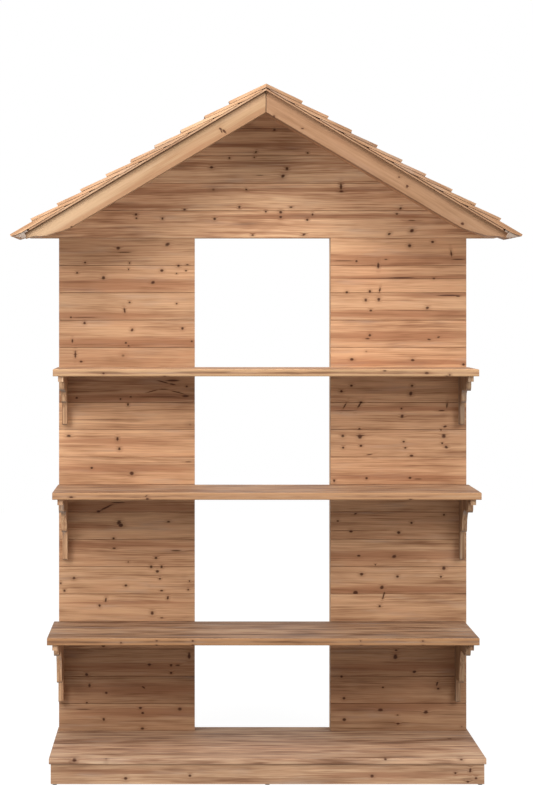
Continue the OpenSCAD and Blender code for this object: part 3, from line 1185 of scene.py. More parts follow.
GABLE_BANDS = marks_at(
    third_board_foot=(268.0, 145.0, 500, 14),
    second_board_head=(240.0, 163.0, 900, 12),
    below_joint_left=(150.0, 190.5, 560, 16),
    below_joint_right=(345.0, 190.0, 420, 14),
    first_board_ruddy=(330.0, 216.5, 900, 16),
    first_board_left=(120.0, 207.0, 420, 12),
)
LEFT_WALL_MARKS = marks_at(
    head_left=(118.2, 248.1, 13, 10),
    head_right=(167.5, 244.3, 17, 11, 20),
    head_streak=(124.6, 252.4, 44, 3),
    second_a=(85.1, 262.5, 8, 7),
    second_b=(77.1, 272.7, 8, 7),
    second_c=(129.6, 263.1, 6, 6),
    second_d=(128.6, 269.3, 6, 5),
    second_e=(178.5, 265.8, 9, 8),
    second_f=(187.4, 264.6, 9, 4),
    second_g=(186.0, 270.8, 6, 6),
    second_h=(176.6, 273.3, 6, 5),
    joint_large=(103.5, 277.7, 12, 12, 50),
    third_large=(153.0, 282.4, 14, 10, 20),
    fourth_a=(129.6, 302.4, 8, 6),
    fourth_dash=(124.6, 310.4, 7, 18, 10),
    fourth_left=(70.9, 317.2, 7, 6),
    fourth_line=(84.0, 317.6, 80, 2),
    fifth_left=(84.6, 322.9, 8, 9),
    fifth_middle=(132.1, 329.9, 9, 11, -30),
    fifth_right=(182.5, 328.4, 9, 9),
    sixth_dash=(72.4, 340.9, 6, 13),
    sixth_a=(125.9, 342.9, 8, 7),
    sixth_b=(128.6, 345.8, 7, 5),
    sixth_edge=(191.8, 341.2, 7, 6),
    seventh_dash=(75.4, 354.6, 7, 25),
    seventh_ring=(81.1, 361.6, 10, 7),
    twisted_eye=(173.0, 380.4, 46, 8),
    twisted_tail=(163.5, 382.0, 40, 5, -14),
    twisted_foot=(172.5, 384.2, 22, 5, -10),
    twisted_dot=(186.8, 386.4, 8, 6),
    arch_rise=(152.0, 391.2, 46, 2.6, 16),
    arch_top=(163.5, 389.2, 34, 3.0),
    arch_fall=(178.0, 392.4, 50, 3.2, -14),
    arch_knot=(185.5, 396.2, 24, 7),
    arch_foot=(160.0, 396.9, 150, 2),
    below_arch_a=(76.7, 397.8, 9, 7),
    below_arch_b=(130.8, 396.8, 8, 5),
    below_arch_c=(120.6, 399.0, 6, 5),
    below_arch_d=(128.0, 404.5, 7, 10),
    line_low=(100.0, 419.8, 200, 1.6),
    mid_wedge=(68.8, 435.8, 15, 7),
    mid_dash=(117.5, 439.0, 8, 14),
    mid_dot=(119.4, 448.8, 10, 10),
    mid_knot=(131.8, 473.4, 13, 12),
    mid_edge=(188.4, 461.9, 22, 3),
    branch=(106.0, 507.6, 46, 6, 26),
    branch_foot=(98.6, 511.4, 13, 7),
    branch_head=(118.0, 502.4, 42, 4),
    below_branch=(119.0, 522.6, 14, 16, -50),
    below_branch_right=(168.5, 521.6, 13, 6),
    ruddy_upper=(113.6, 538.4, 8, 7),
    ruddy_lower=(114.2, 548.2, 13, 5),
    ruddy_streak=(176.0, 550.6, 34, 4),
    cluster_a=(156.0, 557.9, 10, 7),
    cluster_b=(151.2, 566.8, 10, 10),
    cluster_c=(161.6, 566.8, 8, 9),
    cluster_d=(157.4, 571.3, 11, 9),
    cluster_e=(159.9, 578.8, 7, 6),
    low_a=(74.0, 577.9, 10, 9, 20),
    low_b=(60.8, 583.3, 6, 7),
    low_c=(125.9, 585.5, 10, 8),
    low_d=(64.5, 590.7, 9, 8),
    low_e=(161.6, 590.6, 10, 5),
    low_f=(189.5, 581.0, 6, 6),
    low_g=(188.2, 589.7, 6, 6),
    low_h=(105.8, 599.8, 7, 14, -10),
    low_i=(167.8, 597.8, 7, 13, -10),
    low_j=(99.6, 605.6, 8, 10, 20),
    low_k=(152.2, 613.2, 11, 13),
    low_l=(161.8, 617.8, 12, 4),
    base_a=(149.4, 664.5, 11, 9),
    base_b=(171.1, 665.3, 10, 8),
    base_c=(177.8, 665.3, 18, 5),
    base_d=(171.1, 672.8, 8, 8),
    base_e=(189.2, 655.8, 9, 20),
    base_f=(86.6, 674.3, 11, 10, -40),
    base_g=(89.5, 685.4, 9, 13),
    base_h=(106.3, 692.8, 9, 9),
    base_i=(143.6, 687.4, 14, 5, -38),
    base_j=(86.8, 702.7, 8, 6),
    base_k=(140.4, 708.0, 11, 8),
    base_l=(142.7, 712.9, 10, 8),
    base_m=(103.8, 719.4, 9, 10, 30),
    base_n=(142.4, 728.5, 12, 8),
    base_streak=(83.0, 709.3, 50, 2.5),
)
LEFT_WALL_BANDS = marks_at(
    second_foot=(125.0, 284.5, 560, 30),
    fourth_foot=(100.0, 315.5, 460, 20),
    sixth_ruddy=(130.0, 342.0, 620, 26),
    # painted shadow below the upper shelf
    below_shelf=(120.0, 398.0, 520, 18),
    mid_brown=(110.0, 441.0, 320, 16),
    mid_wide=(130.0, 468.0, 460, 22),
    # painted shadow below the middle shelf
    below_second_shelf=(127.0, 507.0, 640, 30),
    dark_run=(92.0, 526.0, 190, 22),
    ruddy=(125.0, 545.0, 540, 22),
    low_run=(150.0, 602.5, 520, 12),
    base_upper=(120.0, 667.0, 480, 28),
    base_middle=(130.0, 689.0, 480, 34),
    base_lower=(150.0, 712.0, 520, 26),
)
RIGHT_WALL_MARKS = marks_at(
    head_left=(409.6, 245.6, 12, 11),
    head_right=(432.6, 241.9, 10, 8),
    head_crack_down=(451.3, 253.6, 6, 22, 8),
    head_crack=(459.0, 259.4, 46, 4),
    second_dash=(378.3, 265.5, 8, 20),
    second_left=(356.5, 261.2, 8, 7),
    second_line=(344.0, 260.8, 76, 2.5),
    second_small=(386.0, 259.4, 10, 3),
    long_streak=(402.0, 277.6, 84, 4),
    long_line=(400.0, 278.6, 400, 1.8),
    streak_knot=(433.9, 278.6, 12, 6),
    joint_left=(346.8, 292.3, 9, 7),
    joint_middle=(369.8, 291.4, 8, 9),
    joint_dash=(379.8, 289.8, 5, 16, -12),
    pair_left=(365.8, 300.1, 10, 10),
    pair_right=(378.8, 299.4, 10, 11),
    fourth_right=(427.4, 307.8, 12, 9, 12),
    edge_streak=(449.0, 295.4, 80, 5),
    edge_knot=(458.1, 296.2, 14, 6),
    fourth_joint=(370.8, 310.5, 11, 7),
    fifth_line=(420.0, 310.6, 200, 1.6),
    sixth_a=(369.8, 335.2, 9, 9),
    sixth_b=(367.5, 338.7, 16, 5),
    sixth_c=(438.6, 337.1, 11, 5, 10),
    sixth_d=(429.1, 339.5, 13, 5, -10),
    seventh_left=(351.8, 359.4, 12, 9),
    seventh_right=(412.7, 360.1, 13, 8),
    seventh_edge=(463.5, 364.6, 9, 8),
    below_a=(351.4, 385.6, 10, 8),
    below_b=(341.4, 391.2, 10, 9),
    below_c=(412.1, 385.7, 10, 8),
    below_d=(410.8, 393.6, 11, 15, -10),
    below_slant_left=(344.9, 405.5, 22, 5, 60),
    below_slant=(359.4, 405.0, 24, 7, 58),
    below_slant_head=(361.0, 402.4, 11, 7),
    below_line=(345.0, 410.6, 86, 2),
    below_hook=(447.0, 405.2, 5, 20, -6),
    below_hook_foot=(441.6, 410.6, 20, 4),
    below_foot=(402.1, 416.2, 10, 12, -30),
    below_foot_head=(401.5, 408.6, 6, 6),
    second_bay_a=(359.4, 428.8, 9, 6),
    second_bay_b=(445.0, 426.6, 12, 7, 20),
    second_bay_c=(441.0, 430.1, 6, 5),
    ring_left=(342.8, 436.0, 11, 9),
    ring_middle=(359.9, 436.6, 14, 15),
    ring_middle_wings=(360.4, 435.4, 30, 4),
    ring_right=(443.8, 436.0, 14, 13),
    second_bay_d=(403.7, 441.6, 10, 7),
    second_bay_e=(405.3, 447.9, 7, 6),
    second_bay_f=(442.2, 443.2, 8, 6),
    second_bay_g=(446.3, 447.2, 12, 9, -35),
    second_bay_h=(343.2, 447.6, 9, 7),
    second_bay_i=(360.9, 445.7, 9, 7),
    second_bay_j=(411.5, 455.6, 13, 8),
    second_bay_k=(370.0, 454.4, 20, 3, 12),
    second_bay_l=(366.6, 478.3, 9, 8),
    second_bay_m=(410.0, 477.9, 9, 7),
    second_bay_n=(418.0, 479.0, 26, 3),
    second_bay_o=(334.2, 480.8, 8, 9),
    under_second_a=(355.5, 513.7, 12, 5, 15),
    under_second_b=(337.8, 520.9, 9, 6),
    under_second_c=(351.0, 531.3, 12, 9),
    under_second_line=(350.0, 530.6, 130, 1.8),
    under_second_d=(411.5, 522.9, 9, 8),
    under_second_e=(398.7, 532.5, 13, 10),
    third_bay_a=(358.8, 555.7, 12, 7),
    third_bay_b=(394.2, 556.4, 14, 10, 20),
    third_bay_c=(375.4, 564.9, 6, 5),
    third_bay_d=(361.6, 574.3, 12, 10),
    third_bay_e=(397.5, 576.6, 10, 8),
    third_bay_f=(443.9, 568.2, 11, 11),
    third_bay_g=(440.9, 576.8, 8, 8),
    third_bay_h=(381.9, 587.3, 11, 13, -40),
    third_bay_i=(383.6, 595.4, 5, 28, -16),
    third_bay_j=(379.7, 606.0, 9, 7),
    base_a=(396.1, 650.2, 10, 6),
    base_b=(395.4, 656.6, 13, 17, -12),
    base_c=(341.5, 676.6, 9, 9),
    base_d=(414.4, 671.7, 12, 9, 30),
    base_e=(437.1, 683.6, 6, 16, -18),
    base_f=(438.2, 688.7, 8, 6),
    base_g=(382.9, 687.3, 7, 5),
    base_h=(344.0, 698.3, 10, 9),
    base_i=(380.4, 709.9, 17, 9),
    base_j=(425.9, 712.1, 14, 11, 15),
    base_k=(398.0, 723.7, 10, 7),
    base_l=(397.6, 715.0, 8, 4),
)
RIGHT_WALL_BANDS = marks_at(
    second_ruddy=(400.0, 259.5, 620, 34),
    long=(400.0, 277.5, 560, 9),
    edge=(440.0, 295.0, 260, 12),
    fifth_ruddy=(400.0, 313.5, 600, 22),
    sixth=(395.0, 335.5, 560, 26),
    seventh=(400.0, 362.5, 560, 16),
    # painted shadow below the upper shelf
    below_shelf=(395.0, 408.5, 560, 14),
    second_bay=(395.0, 477.0, 520, 22),
    ruddy=(395.0, 555.5, 600, 26),
    third_bay=(400.0, 590.0, 560, 24),
    base_upper=(400.0, 667.0, 560, 22),
    base_ruddy=(395.0, 706.0, 520, 24),
)
BASE_MARKS = marks_at(
    left=(125.7, 778.5, 11, 10),
    left_second=(189.9, 775.6, 9, 8),
    right=(372.1, 776.2, 11, 9),
    corner_a=(455.4, 773.3, 7, 7),
    corner_b=(470.3, 770.3, 8, 14, -8),
    corner_c=(476.0, 778.1, 9, 8),
    corner_d=(467.8, 781.9, 9, 7),
    corner_streak=(466.0, 778.9, 40, 2),
)
BASE_BANDS = marks_at(
    left_brown=(110.0, 771.5, 300, 12),
    right_brown=(390.0, 775.0, 420, 14),
)
DECK_MARKS = marks_at(
    left=(74.4, 760.2, 14, 11),
    right=(385.5, 759.6, 12, 7),
    far_right=(461.4, 759.8, 10, 5),
)
LEFT_RAFTER_MARKS = marks_at(
    bent_knot_upper=(220.6, 129.0, 12, 7, -30),
    bent_knot_side=(221.4, 131.2, 12, 4, -60),
    bent_knot_lower=(224.4, 131.4, 18, 7, -45),
    arris_knot=(207.0, 125.3, 9, 5, 30),
    low_arris=(111.5, 181.8, 9, 6, 30),
    tail_dot=(71.6, 227.2, 7, 6),
)
LEFT_RAFTER_BANDS = marks_at(
    # painted shade along the board's lower edge
    lower_edge=(154.6, 175.8, 2600, 17, 30.6),
)
RIGHT_RAFTER_MARKS = marks_at(
    near_ridge=(274.0, 116.4, 9, 8),
    small_ruddy=(302.4, 128.6, 9, 4),
    middle=(407.1, 186.4, 9, 10),
    faint=(399.1, 177.2, 8, 6),
    tail=(462.5, 223.7, 11, 9),
)
SHELF_MARKS = (
    marks_at(
        left=(121.0, 642.8, 7, 5),
        left_upper=(156.7, 640.9, 9, 4),
        left_lower=(156.7, 645.2, 6, 4),
        middle_upper=(192.7, 640.9, 7, 5),
        middle_lower=(192.7, 645.3, 8, 5),
        right_upper=(360.6, 641.0, 6, 4),
        right_lower=(361.2, 645.7, 9, 5),
        far_upper=(422.9, 641.1, 7, 5),
        far_lower=(422.9, 645.6, 8, 4),
    ),
    marks_at(
        left=(71.2, 497.2, 12, 5),
        right_of_branch=(147.4, 498.9, 9, 6),
        arc=(146.2, 496.0, 9, 3, 30),
        right=(410.4, 499.6, 9, 4),
    ),
    marks_at(
        left=(103.5, 373.5, 8, 5),
        left_low=(164.7, 376.4, 10, 4),
        right_top=(384.7, 370.8, 10, 4),
        right=(426.8, 373.1, 12, 6),
        far=(449.8, 375.0, 7, 6),
        far_low=(447.0, 376.2, 8, 4),
    ),
)


# ---------- copies of solids ----------


def loose_parts(mesh: bmesh.types.BMesh) -> list[set[bmesh.types.BMVert]]:
    """Split a mesh into the groups of vertices that hang together.

    Args:
        mesh: The mesh, whose corners are welded.

    Returns:
        The groups.
    """
    left = set(mesh.verts)
    groups = []
    while left:
        first = left.pop()
        group, edge = {first}, [first]
        while edge:
            for link in edge.pop().link_edges:
                for vert in link.verts:
                    if vert in left:
                        left.remove(vert)
                        group.add(vert)
                        edge.append(vert)
        groups.append(group)
    return groups


def welded(piece: bpy.types.Object) -> bmesh.types.BMesh:
    """A welded copy of a piece's mesh, with flat faces made whole.

    Args:
        piece: The piece.

    Returns:
        The copy.
    """
    mesh = bmesh.new()
    mesh.from_mesh(piece.data)
    bmesh.ops.remove_doubles(mesh, verts=mesh.verts, dist=WELD_DISTANCE)
    bmesh.ops.dissolve_limit(mesh, angle_limit=FLAT_ANGLE, verts=mesh.verts, edges=mesh.edges)
    return mesh


def loose_solids(piece: bpy.types.Object) -> list[list[Vector]]:
    """Corners of each solid of a piece.

    Args:
        piece: The piece.

    Returns:
        A list of corners for each solid.
    """
    mesh = welded(piece)
    solids = [[vert.co.copy() for vert in group] for group in loose_parts(mesh)]
    mesh.free()
    return solids


def ease(mesh: bmesh.types.BMesh, angle: float, arris: float, hollows: bool = False) -> None:
    """Turn the faces of a mesh outwards and round its sharp edges.

    Args:
        mesh: The mesh.
        angle: Least angle of an edge that is rounded.
        arris: Width of the rounding.
        hollows: Whether edges that point inwards are rounded too.
    """
    bmesh.ops.recalc_face_normals(mesh, faces=mesh.faces)
    sharp = [edge for edge in mesh.edges if edge.calc_face_angle(0.0) > angle]
    if not hollows:
        sharp = [edge for edge in sharp if edge.is_convex]
    bmesh.ops.bevel(
        mesh, geom=sharp, offset=arris, segments=2, profile=0.5, affect="EDGES", clamp_overlap=True
    )


def as_piece(mesh: bmesh.types.BMesh, name: str) -> bpy.types.Object:
    """Turn a mesh into a piece, with smooth faces and crisp corners.

    Args:
        mesh: The mesh, which is used up.
        name: Name of the piece.

    Returns:
        The piece.
    """
    bmesh.ops.triangulate(mesh, faces=[face for face in mesh.faces if len(face.verts) > 4])
    data = bpy.data.meshes.new(name)
    mesh.to_mesh(data)
    mesh.free()
    for face in data.polygons:
        face.use_smooth = True
    data.set_sharp_from_angle(angle=CRISP_ANGLE)
    piece = bpy.data.objects.new(name, data)
    bpy.context.scene.collection.objects.link(piece)
    return piece


def eased_copy(
    source: bpy.types.Object, name: str, arris: float, keep: Callable[[Vector], bool]
) -> bpy.types.Object:
    """Copy some of a piece's solids, with rounded arrises.

    Args:
        source: The piece to copy.
        name: Name of the copy.
        arris: Width of the rounding.
        keep: Says of a solid's middle whether it is copied.

    Returns:
        The copy.
    """
    mesh = welded(source)
    for group in loose_parts(mesh):
        middle = sum((vert.co for vert in group), Vector()) / len(group)
        if not keep(middle):
            bmesh.ops.delete(mesh, geom=list(group), context="VERTS")
    ease(mesh, ARRIS_ANGLE, arris)
    return as_piece(mesh, name)


# ---------- sub-assemblies ----------


@dataclass
class SubAssembly:
    """A group of pieces that are made and dressed together.

    Attributes:
        nodes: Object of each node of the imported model.
    """

    nodes: Mapping[str, bpy.types.Object]

    def dress(self, node: str, material: bpy.types.Material) -> None:
        """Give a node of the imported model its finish.

        Args:
            node: Name of the node.
            material: Its material.
        """
        piece = self.nodes[node]
        if not piece.material_slots:
            piece.data.materials.append(None)
        for slot in piece.material_slots:
            slot.material = material
        LOG.info("%s: finish %s", node, material.name)

    def wood(self, node: str, fir: Fir, grain: Grain, seed: float, **details: object) -> None:
        """Dress a node in wood of its own.

        Args:
            node: Name of the node.
            fir: The finish.
            grain: Directions of its grain.
            seed: Number that sets its wood apart.
            details: Further arguments of the finish.
        """
        self.dress(node, fir.material(f"{node}_wood", grain, seed, **details))

    @staticmethod
    def stand_for(piece: bpy.types.Object, node: str, slot: str) -> None:
        """Let a piece stand for a node and ride with the bookcase.

        Args:
            piece: The piece.
            node: The node.
            slot: Its material slot, which is not used.
        """
        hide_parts(node)
        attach(piece, BODY)
        LOG.info("%s: %d faces", piece.name, len(piece.data.polygons))


@dataclass
class Walls(SubAssembly):
    """The two boarded panels, board by board, with their studs and rails.

    Attributes:
        board_cover: Width of a board between its joints.
        foot: Height at which the boards start.
        face: Where their face lies, along +Y.
        boards_a_lot: Number of boards in one piece, so that its material stays simple.
        arris: Width of the rounding.
        mark_reach: How far beyond its middle a mark may reach.
    """

    board_cover: float = BOARD_COVER
    foot: float = 0.076
    face: float = WALL_FACE
    boards_a_lot: int = 3
    arris: float = 0.0005
    mark_reach: float = 0.01

    def build(self) -> None:
        """Make the boards and dress the timber behind them."""
        for name, seed, marks, bands in (
            ("left", 3.0, LEFT_WALL_MARKS, LEFT_WALL_BANDS),
            ("right", 41.0, RIGHT_WALL_MARKS, RIGHT_WALL_BANDS),
        ):
            self._boards(name, seed, marks, bands)
            self.wood(f"{name}_outer_stud", FRAME_FIR, Grain.POST, seed + 5)
            self.wood(f"{name}_inner_stud", FRAME_FIR, Grain.POST, seed + 9)
            self.wood(f"{name}_wall_rails", FRAME_FIR, Grain.WALL, seed + 13)

    def _boards(self, name: str, seed: float, marks: Sequence[Mark], bands: Sequence[Mark]) -> None:
        """Make one panel's boards with eased arrises, a few boards to a piece.

        Args:
            name: Side of the panel.
            seed: Number that sets its wood apart.
            marks: Knots and holes of the panel.
            bands: Brown bands of the panel.
        """
        node = f"{name}_wall_boards"
        boards = loose_solids(self.nodes[node])
        boards.sort(key=lambda points: min(point.z for point in points))
        for first in range(0, len(boards), self.boards_a_lot):
            last = min(first + self.boards_a_lot, len(boards))
            low = self.foot + first * self.board_cover
            high = self.foot + last * self.board_cover
            piece = eased_copy(
                self.nodes[node], f"{name}_boards_{first + 1}_to_{last}", self.arris,
                lambda middle: low < middle.z < high,
            )
            own_marks = [mark for mark in marks if self._reaches(mark, low, high)]
            own_bands = [band for band in bands if self._reaches(band, low, high)]
            # each lot's own tone; the lowest lot's darkness is painted shade
            fir = replace(WALL_FIR, shade=LOT_TONE_AND_PAINTED_SHADE[name][first // self.boards_a_lot])
            piece.data.materials.append(
                fir.material(
                    f"{piece.name}_wood", Grain.WALL, seed,
                    boards=Boards(self.board_cover, self.foot),
                    seen=Seen(self.face, own_marks, own_bands),
                )
            )
            self.stand_for(piece, node, "wall_boards")

    def _reaches(self, mark: Mark, low: float, high: float) -> bool:
        """Whether a mark lies between two heights, or so near that it may reach in."""
        return low - self.mark_reach < mark.height_of(self.face) < high + self.mark_reach


@dataclass
class Gable(SubAssembly):
    """The boarded triangle and its frame.

    Attributes:
        board_cover: Width of a board between its joints.
        foot: Height at which the boards start.
        face: Where their face lies, along +Y.
        boards: Number of boards.
    """

    board_cover: float = BOARD_COVER
    foot: float = 1.561
    face: float = WALL_FACE
    boards: int = 5

    def build(self) -> None:
        """Dress the boards, the tie, the post and the rear rafters."""
        material = GABLE_FIR.material(
            "gable_wood", Grain.WALL, 77.0, boards=Boards(self.board_cover, self.foot),
            seen=Seen(self.face, GABLE_MARKS, GABLE_BANDS),
        )
        for number in range(1, self.boards + 1):
            self.dress(f"gable_board_{number}", material)
        self.wood("gable_tie", FRAME_FIR, Grain.WALL, 83.0)
        self.wood("king_post", FRAME_FIR, Grain.POST, 87.0)
        self.wood("left_rear_rafter", FRAME_FIR, Grain.LEFT_RAFTER, 91.0)
        self.wood("right_rear_rafter", FRAME_FIR, Grain.RIGHT_RAFTER, 95.0)


@dataclass
class Plinth(SubAssembly):
    """The boxed base, its boarded top and its glides.

    Attributes:
        deck_boards: Number of boards on top.
        box_face: Where the front of the box lies, along +Y.
        deck_face: Where the front edge of its top lies.
    """

    deck_boards: int = 5
    box_face: float = -0.20125
    deck_face: float = -0.20625

    def build(self) -> None:
        """Dress the plinth."""
        self.wood(
            "base_front_board", BASE_FIR, Grain.WALL, 101.0,
            seen=Seen(self.box_face, BASE_MARKS, BASE_BANDS, depth=0.05),
        )
        self.wood("base_back_board", BASE_FIR, Grain.WALL, 105.0)
        self.wood("base_left_board", BASE_FIR, Grain.BEAM, 109.0)
        self.wood("base_right_board", BASE_FIR, Grain.BEAM, 113.0)
        self.wood("base_joists", FRAME_FIR, Grain.BEAM, 117.0)
        for number in range(1, self.deck_boards + 1):
            marks = DECK_MARKS if number == 1 else ()
            self.wood(
                f"deck_board_{number}", DECK_FIR, Grain.SHELF, 121.0 + 7 * number,
                seen=Seen(self.deck_face, marks, depth=0.02),
            )
        self.dress("floor_glides", GlidePlastic().material("glide_plastic"))


@dataclass
class Shelves(SubAssembly):
    """The three shelves, whose front edges show three lengthwise stripes.

    Attributes:
        board_cover: Width of one of the boards that a shelf is glued up from.
    """

    board_cover: float = BOARD_COVER

    def build(self) -> None:
        """Dress the shelves."""
        for number, marks in enumerate(SHELF_MARKS, 1):
            low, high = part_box(f"shelf_{number}")
            # painted shade darkens each shelf, most of all the lowest, and its front edge gets
            # painted light
            fir = replace(SHELF_FIR, shade=SHELF_PAINTED_SHADE[number - 1])
            self.wood(
                f"shelf_{number}", fir, Grain.SHELF, 171.0 + 11 * number,
                boards=Boards(self.board_cover, low.y), seen=Seen(low.y, marks, depth=0.006),
                front=PaintedLightFront(low.y, low.z, high.z, SHELF_FRONT_PAINTED_LIGHT[number - 1]),
            )


class Brackets(SubAssembly):
    """The six profiled brackets."""

    def build(self) -> None:
        """Dress the brackets."""
        # painted light and shade: the left brackets are made lighter and the right ones darker
        for side, shade in BRACKET_PAINTED_LIGHT_AND_SHADE.items():
            fir = replace(BRACKET_FIR, shade=shade)
            for number in (1, 2, 3):
                seed = 211.0 + 13 * number + (5 if side == "right" else 0)
                self.wood(f"{side}_bracket_{number}", fir, Grain.BRACKET, seed)


class Screws(SubAssembly):
    """The screws behind shelves and brackets."""

    def build(self) -> None:
        """Dress the screws."""
        steel = Metal().material("screw_steel")
        for node in ("shelf_screws", "bracket_screws"):
            self.dress(node, steel)


def extruded(
    name: str, outline: Sequence[Sequence[float]], front: float, back: float, arris: float
) -> bpy.types.Object:
    """A board of a given outline, seen from the front, with eased arrises.

    Args:
        name: Name of the piece.
        outline: Corners in X and Z, in order round the outline.
        front: Where its face lies, along +Y.
        back: Where its back lies.
        arris: Width of the rounding.

    Returns:
        The piece.
    """
    mesh = bmesh.new()
    face = mesh.faces.new([mesh.verts.new((x, front, z)) for x, z in outline])
    grown = bmesh.ops.extrude_face_region(mesh, geom=[face])["geom"]
    moved = [part for part in grown if isinstance(part, bmesh.types.BMVert)]
    bmesh.ops.translate(mesh, verts=moved, vec=(0.0, back - front, 0.0))
    ease(mesh, CORNER_ANGLE, arris, hollows=True)
    return as_piece(mesh, name)


@dataclass
class RoofFrame(SubAssembly):
    """The barge boards and stepped eave ends, with the timber behind them.

    Attributes:
        board_width: Width of a barge board, square to the slope.
        mitre_gap: Half of the gap between the boards at the ridge.
        arris: Width of the rounding.
        deck_thick: Thickness of the roof deck.
        kink: Where a board's straight lower edge ends, from the middle.
        tail_foot: Underside of a tail, by the distance from the middle and the height above
            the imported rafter's lowest point.
        strip_head: Upper end of the eave strip, down the slope from the ridge.
        strip_foot: Lower end of the eave strip.
        strip_thick: Thickness of the eave strip.
        teeth: Corners of the stepped end, by the distance down the slope and the height
            above the roof frame.
    """

    board_width: float = 0.0527
    mitre_gap: float = 0.0008
    arris: float = 0.0008
    deck_thick: float = 0.0055
    kink: float = 0.564
    tail_foot: Sequence[tuple[float, float]] = (
        (0.590, 0.0110), (0.608, 0.0068), (0.622, 0.0022), (0.636, -0.0022), (0.652, -0.0030),
        (0.670, -0.0034), (0.684, -0.0068), (0.6940, -0.0105),
    )
    strip_head: float = 0.791
    strip_foot: float = 0.8075
    strip_thick: float = 0.0055
    teeth: Sequence[tuple[float, float]] = (
        (0.8105, 0.0055), (0.8340, 0.0055), (0.8400, 0.0100), (0.8405, 0.0072), (0.8368, 0.0066),
        (0.8338, 0.0008), (0.8303, 0.0012), (0.8270, -0.0052), (0.8238, -0.0040),
        (0.8200, -0.0110), (0.8168, -0.0098), (0.8110, -0.0140), (0.8085, -0.0090),
        (0.8085, 0.0055),
    )

    def build(self) -> None:
        """Make the boards and eave ends and dress the rest of the roof frame."""
        for side, name, fir, sheet, marks, bands in (
            (-1, "left", LEFT_BARGE_FIR, LEFT_DECK_SHEET, LEFT_RAFTER_MARKS, LEFT_RAFTER_BANDS),
            (1, "right", RIGHT_BARGE_FIR, RIGHT_DECK_SHEET, RIGHT_RAFTER_MARKS, ()),
        ):
            seed = 307.0 + 10 * side
            low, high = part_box(f"{name}_barge_rafter")
            board_top = high.z * math.cos(PITCH)
            # painted light on the board's lower end, and a painted shadow seam under the deck on
            # the left and above it on the right
            # the photograph shows the dark seam under the deck on the left, above it on the right
            if side < 0:
                board_tail = LitTailShadowSeam(board_top)
                deck_tail = LitTailShadowSeam(board_top + self.deck_thick, strength=0.0, seam_share=0.0)
            else:
                board_tail = LitTailShadowSeam(board_top, strength=0.05, seam_share=0.0)
                deck_tail = LitTailShadowSeam(board_top + self.deck_thick, 0.0022, strength=0.0)
            board = self._barge_board(side, name)
            board.data.materials.append(
                fir.material(
                    f"{name}_barge_wood", Grain.rafter(side), seed,
                    seen=Seen(low.y, marks, bands, depth=0.02), tail=board_tail,
                )
            )
            self.stand_for(board, f"{name}_barge_rafter", "roof_frame")
            strip = STRIP_FIR.material(f"{name}_strip_wood", Grain.BEAM, seed + 7)
            for piece in self._eave_ends(side, name):
                piece.data.materials.append(strip)
                self.stand_for(piece, f"{name}_eave_strip", "eave_strips")
            self.wood(f"{name}_eave_block", SOFFIT_FIR, Grain.rafter(side), seed + 3)
            self.wood(f"{name}_soffit", SOFFIT_FIR, Grain.slope(side), seed + 5)
            self.wood(f"{name}_roof_deck", sheet, Grain.rafter(side), seed + 6, tail=deck_tail)
        self.wood("roof_bearers", FRAME_FIR, Grain.BEAM, 331.0)

    def _barge_board(self, side: int, name: str) -> bpy.types.Object:
        """Make a barge board, mitred at the ridge, with its shaped tail.

        Args:
            side: -1 on the left, 1 on the right.
            name: Name of the side.

        Returns:
            The piece.
        """
        low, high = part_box(f"{name}_barge_rafter")
        reach, ridge, eave = max(abs(low.x), abs(high.x)), high.z, low.z
        fall = math.tan(PITCH)
        under = ridge - self.board_width / math.cos(PITCH)
        outline = [
            (self.mitre_gap, ridge - self.mitre_gap * fall),
            (reach, ridge - reach * fall),
            *((x, eave + lift) for x, lift in reversed(self.tail_foot)),
            (self.kink, under - self.kink * fall),
            (self.mitre_gap, under - self.mitre_gap * fall),
        ]
        return extruded(
            f"{name}_barge_board", [(side * x, z) for x, z in outline], low.y, high.y, self.arris
        )

    def _eave_ends(self, side: int, name: str) -> list[bpy.types.Object]:
        """Make the strip below the lowest shingles and its stepped front end.

        Args:
            side: -1 on the left, 1 on the right.
            name: Name of the side.

        Returns:
            The two pieces.
        """
        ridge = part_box(f"{name}_barge_rafter")[1].z
        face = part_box(f"{name}_barge_rafter")[0].y
        low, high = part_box(f"{name}_eave_strip")

        def at(down: float, lift: float) -> tuple[float, float]:
            """Point a distance down the slope and above the roof frame."""
            x = down * math.cos(PITCH) + lift * math.sin(PITCH)
            return (side * x, ridge - down * math.sin(PITCH) + lift * math.cos(PITCH))

        flat = [
            at(self.strip_head, 0.0), at(self.strip_foot, 0.0),
            at(self.strip_foot, self.strip_thick), at(self.strip_head, self.strip_thick),
        ]
        return [
            extruded(f"{name}_strip", flat, low.y, high.y, self.arris / 2),
            extruded(
                f"{name}_stepped_end", [at(*corner) for corner in self.teeth], low.y, face,
                self.arris / 3,
            ),
        ]


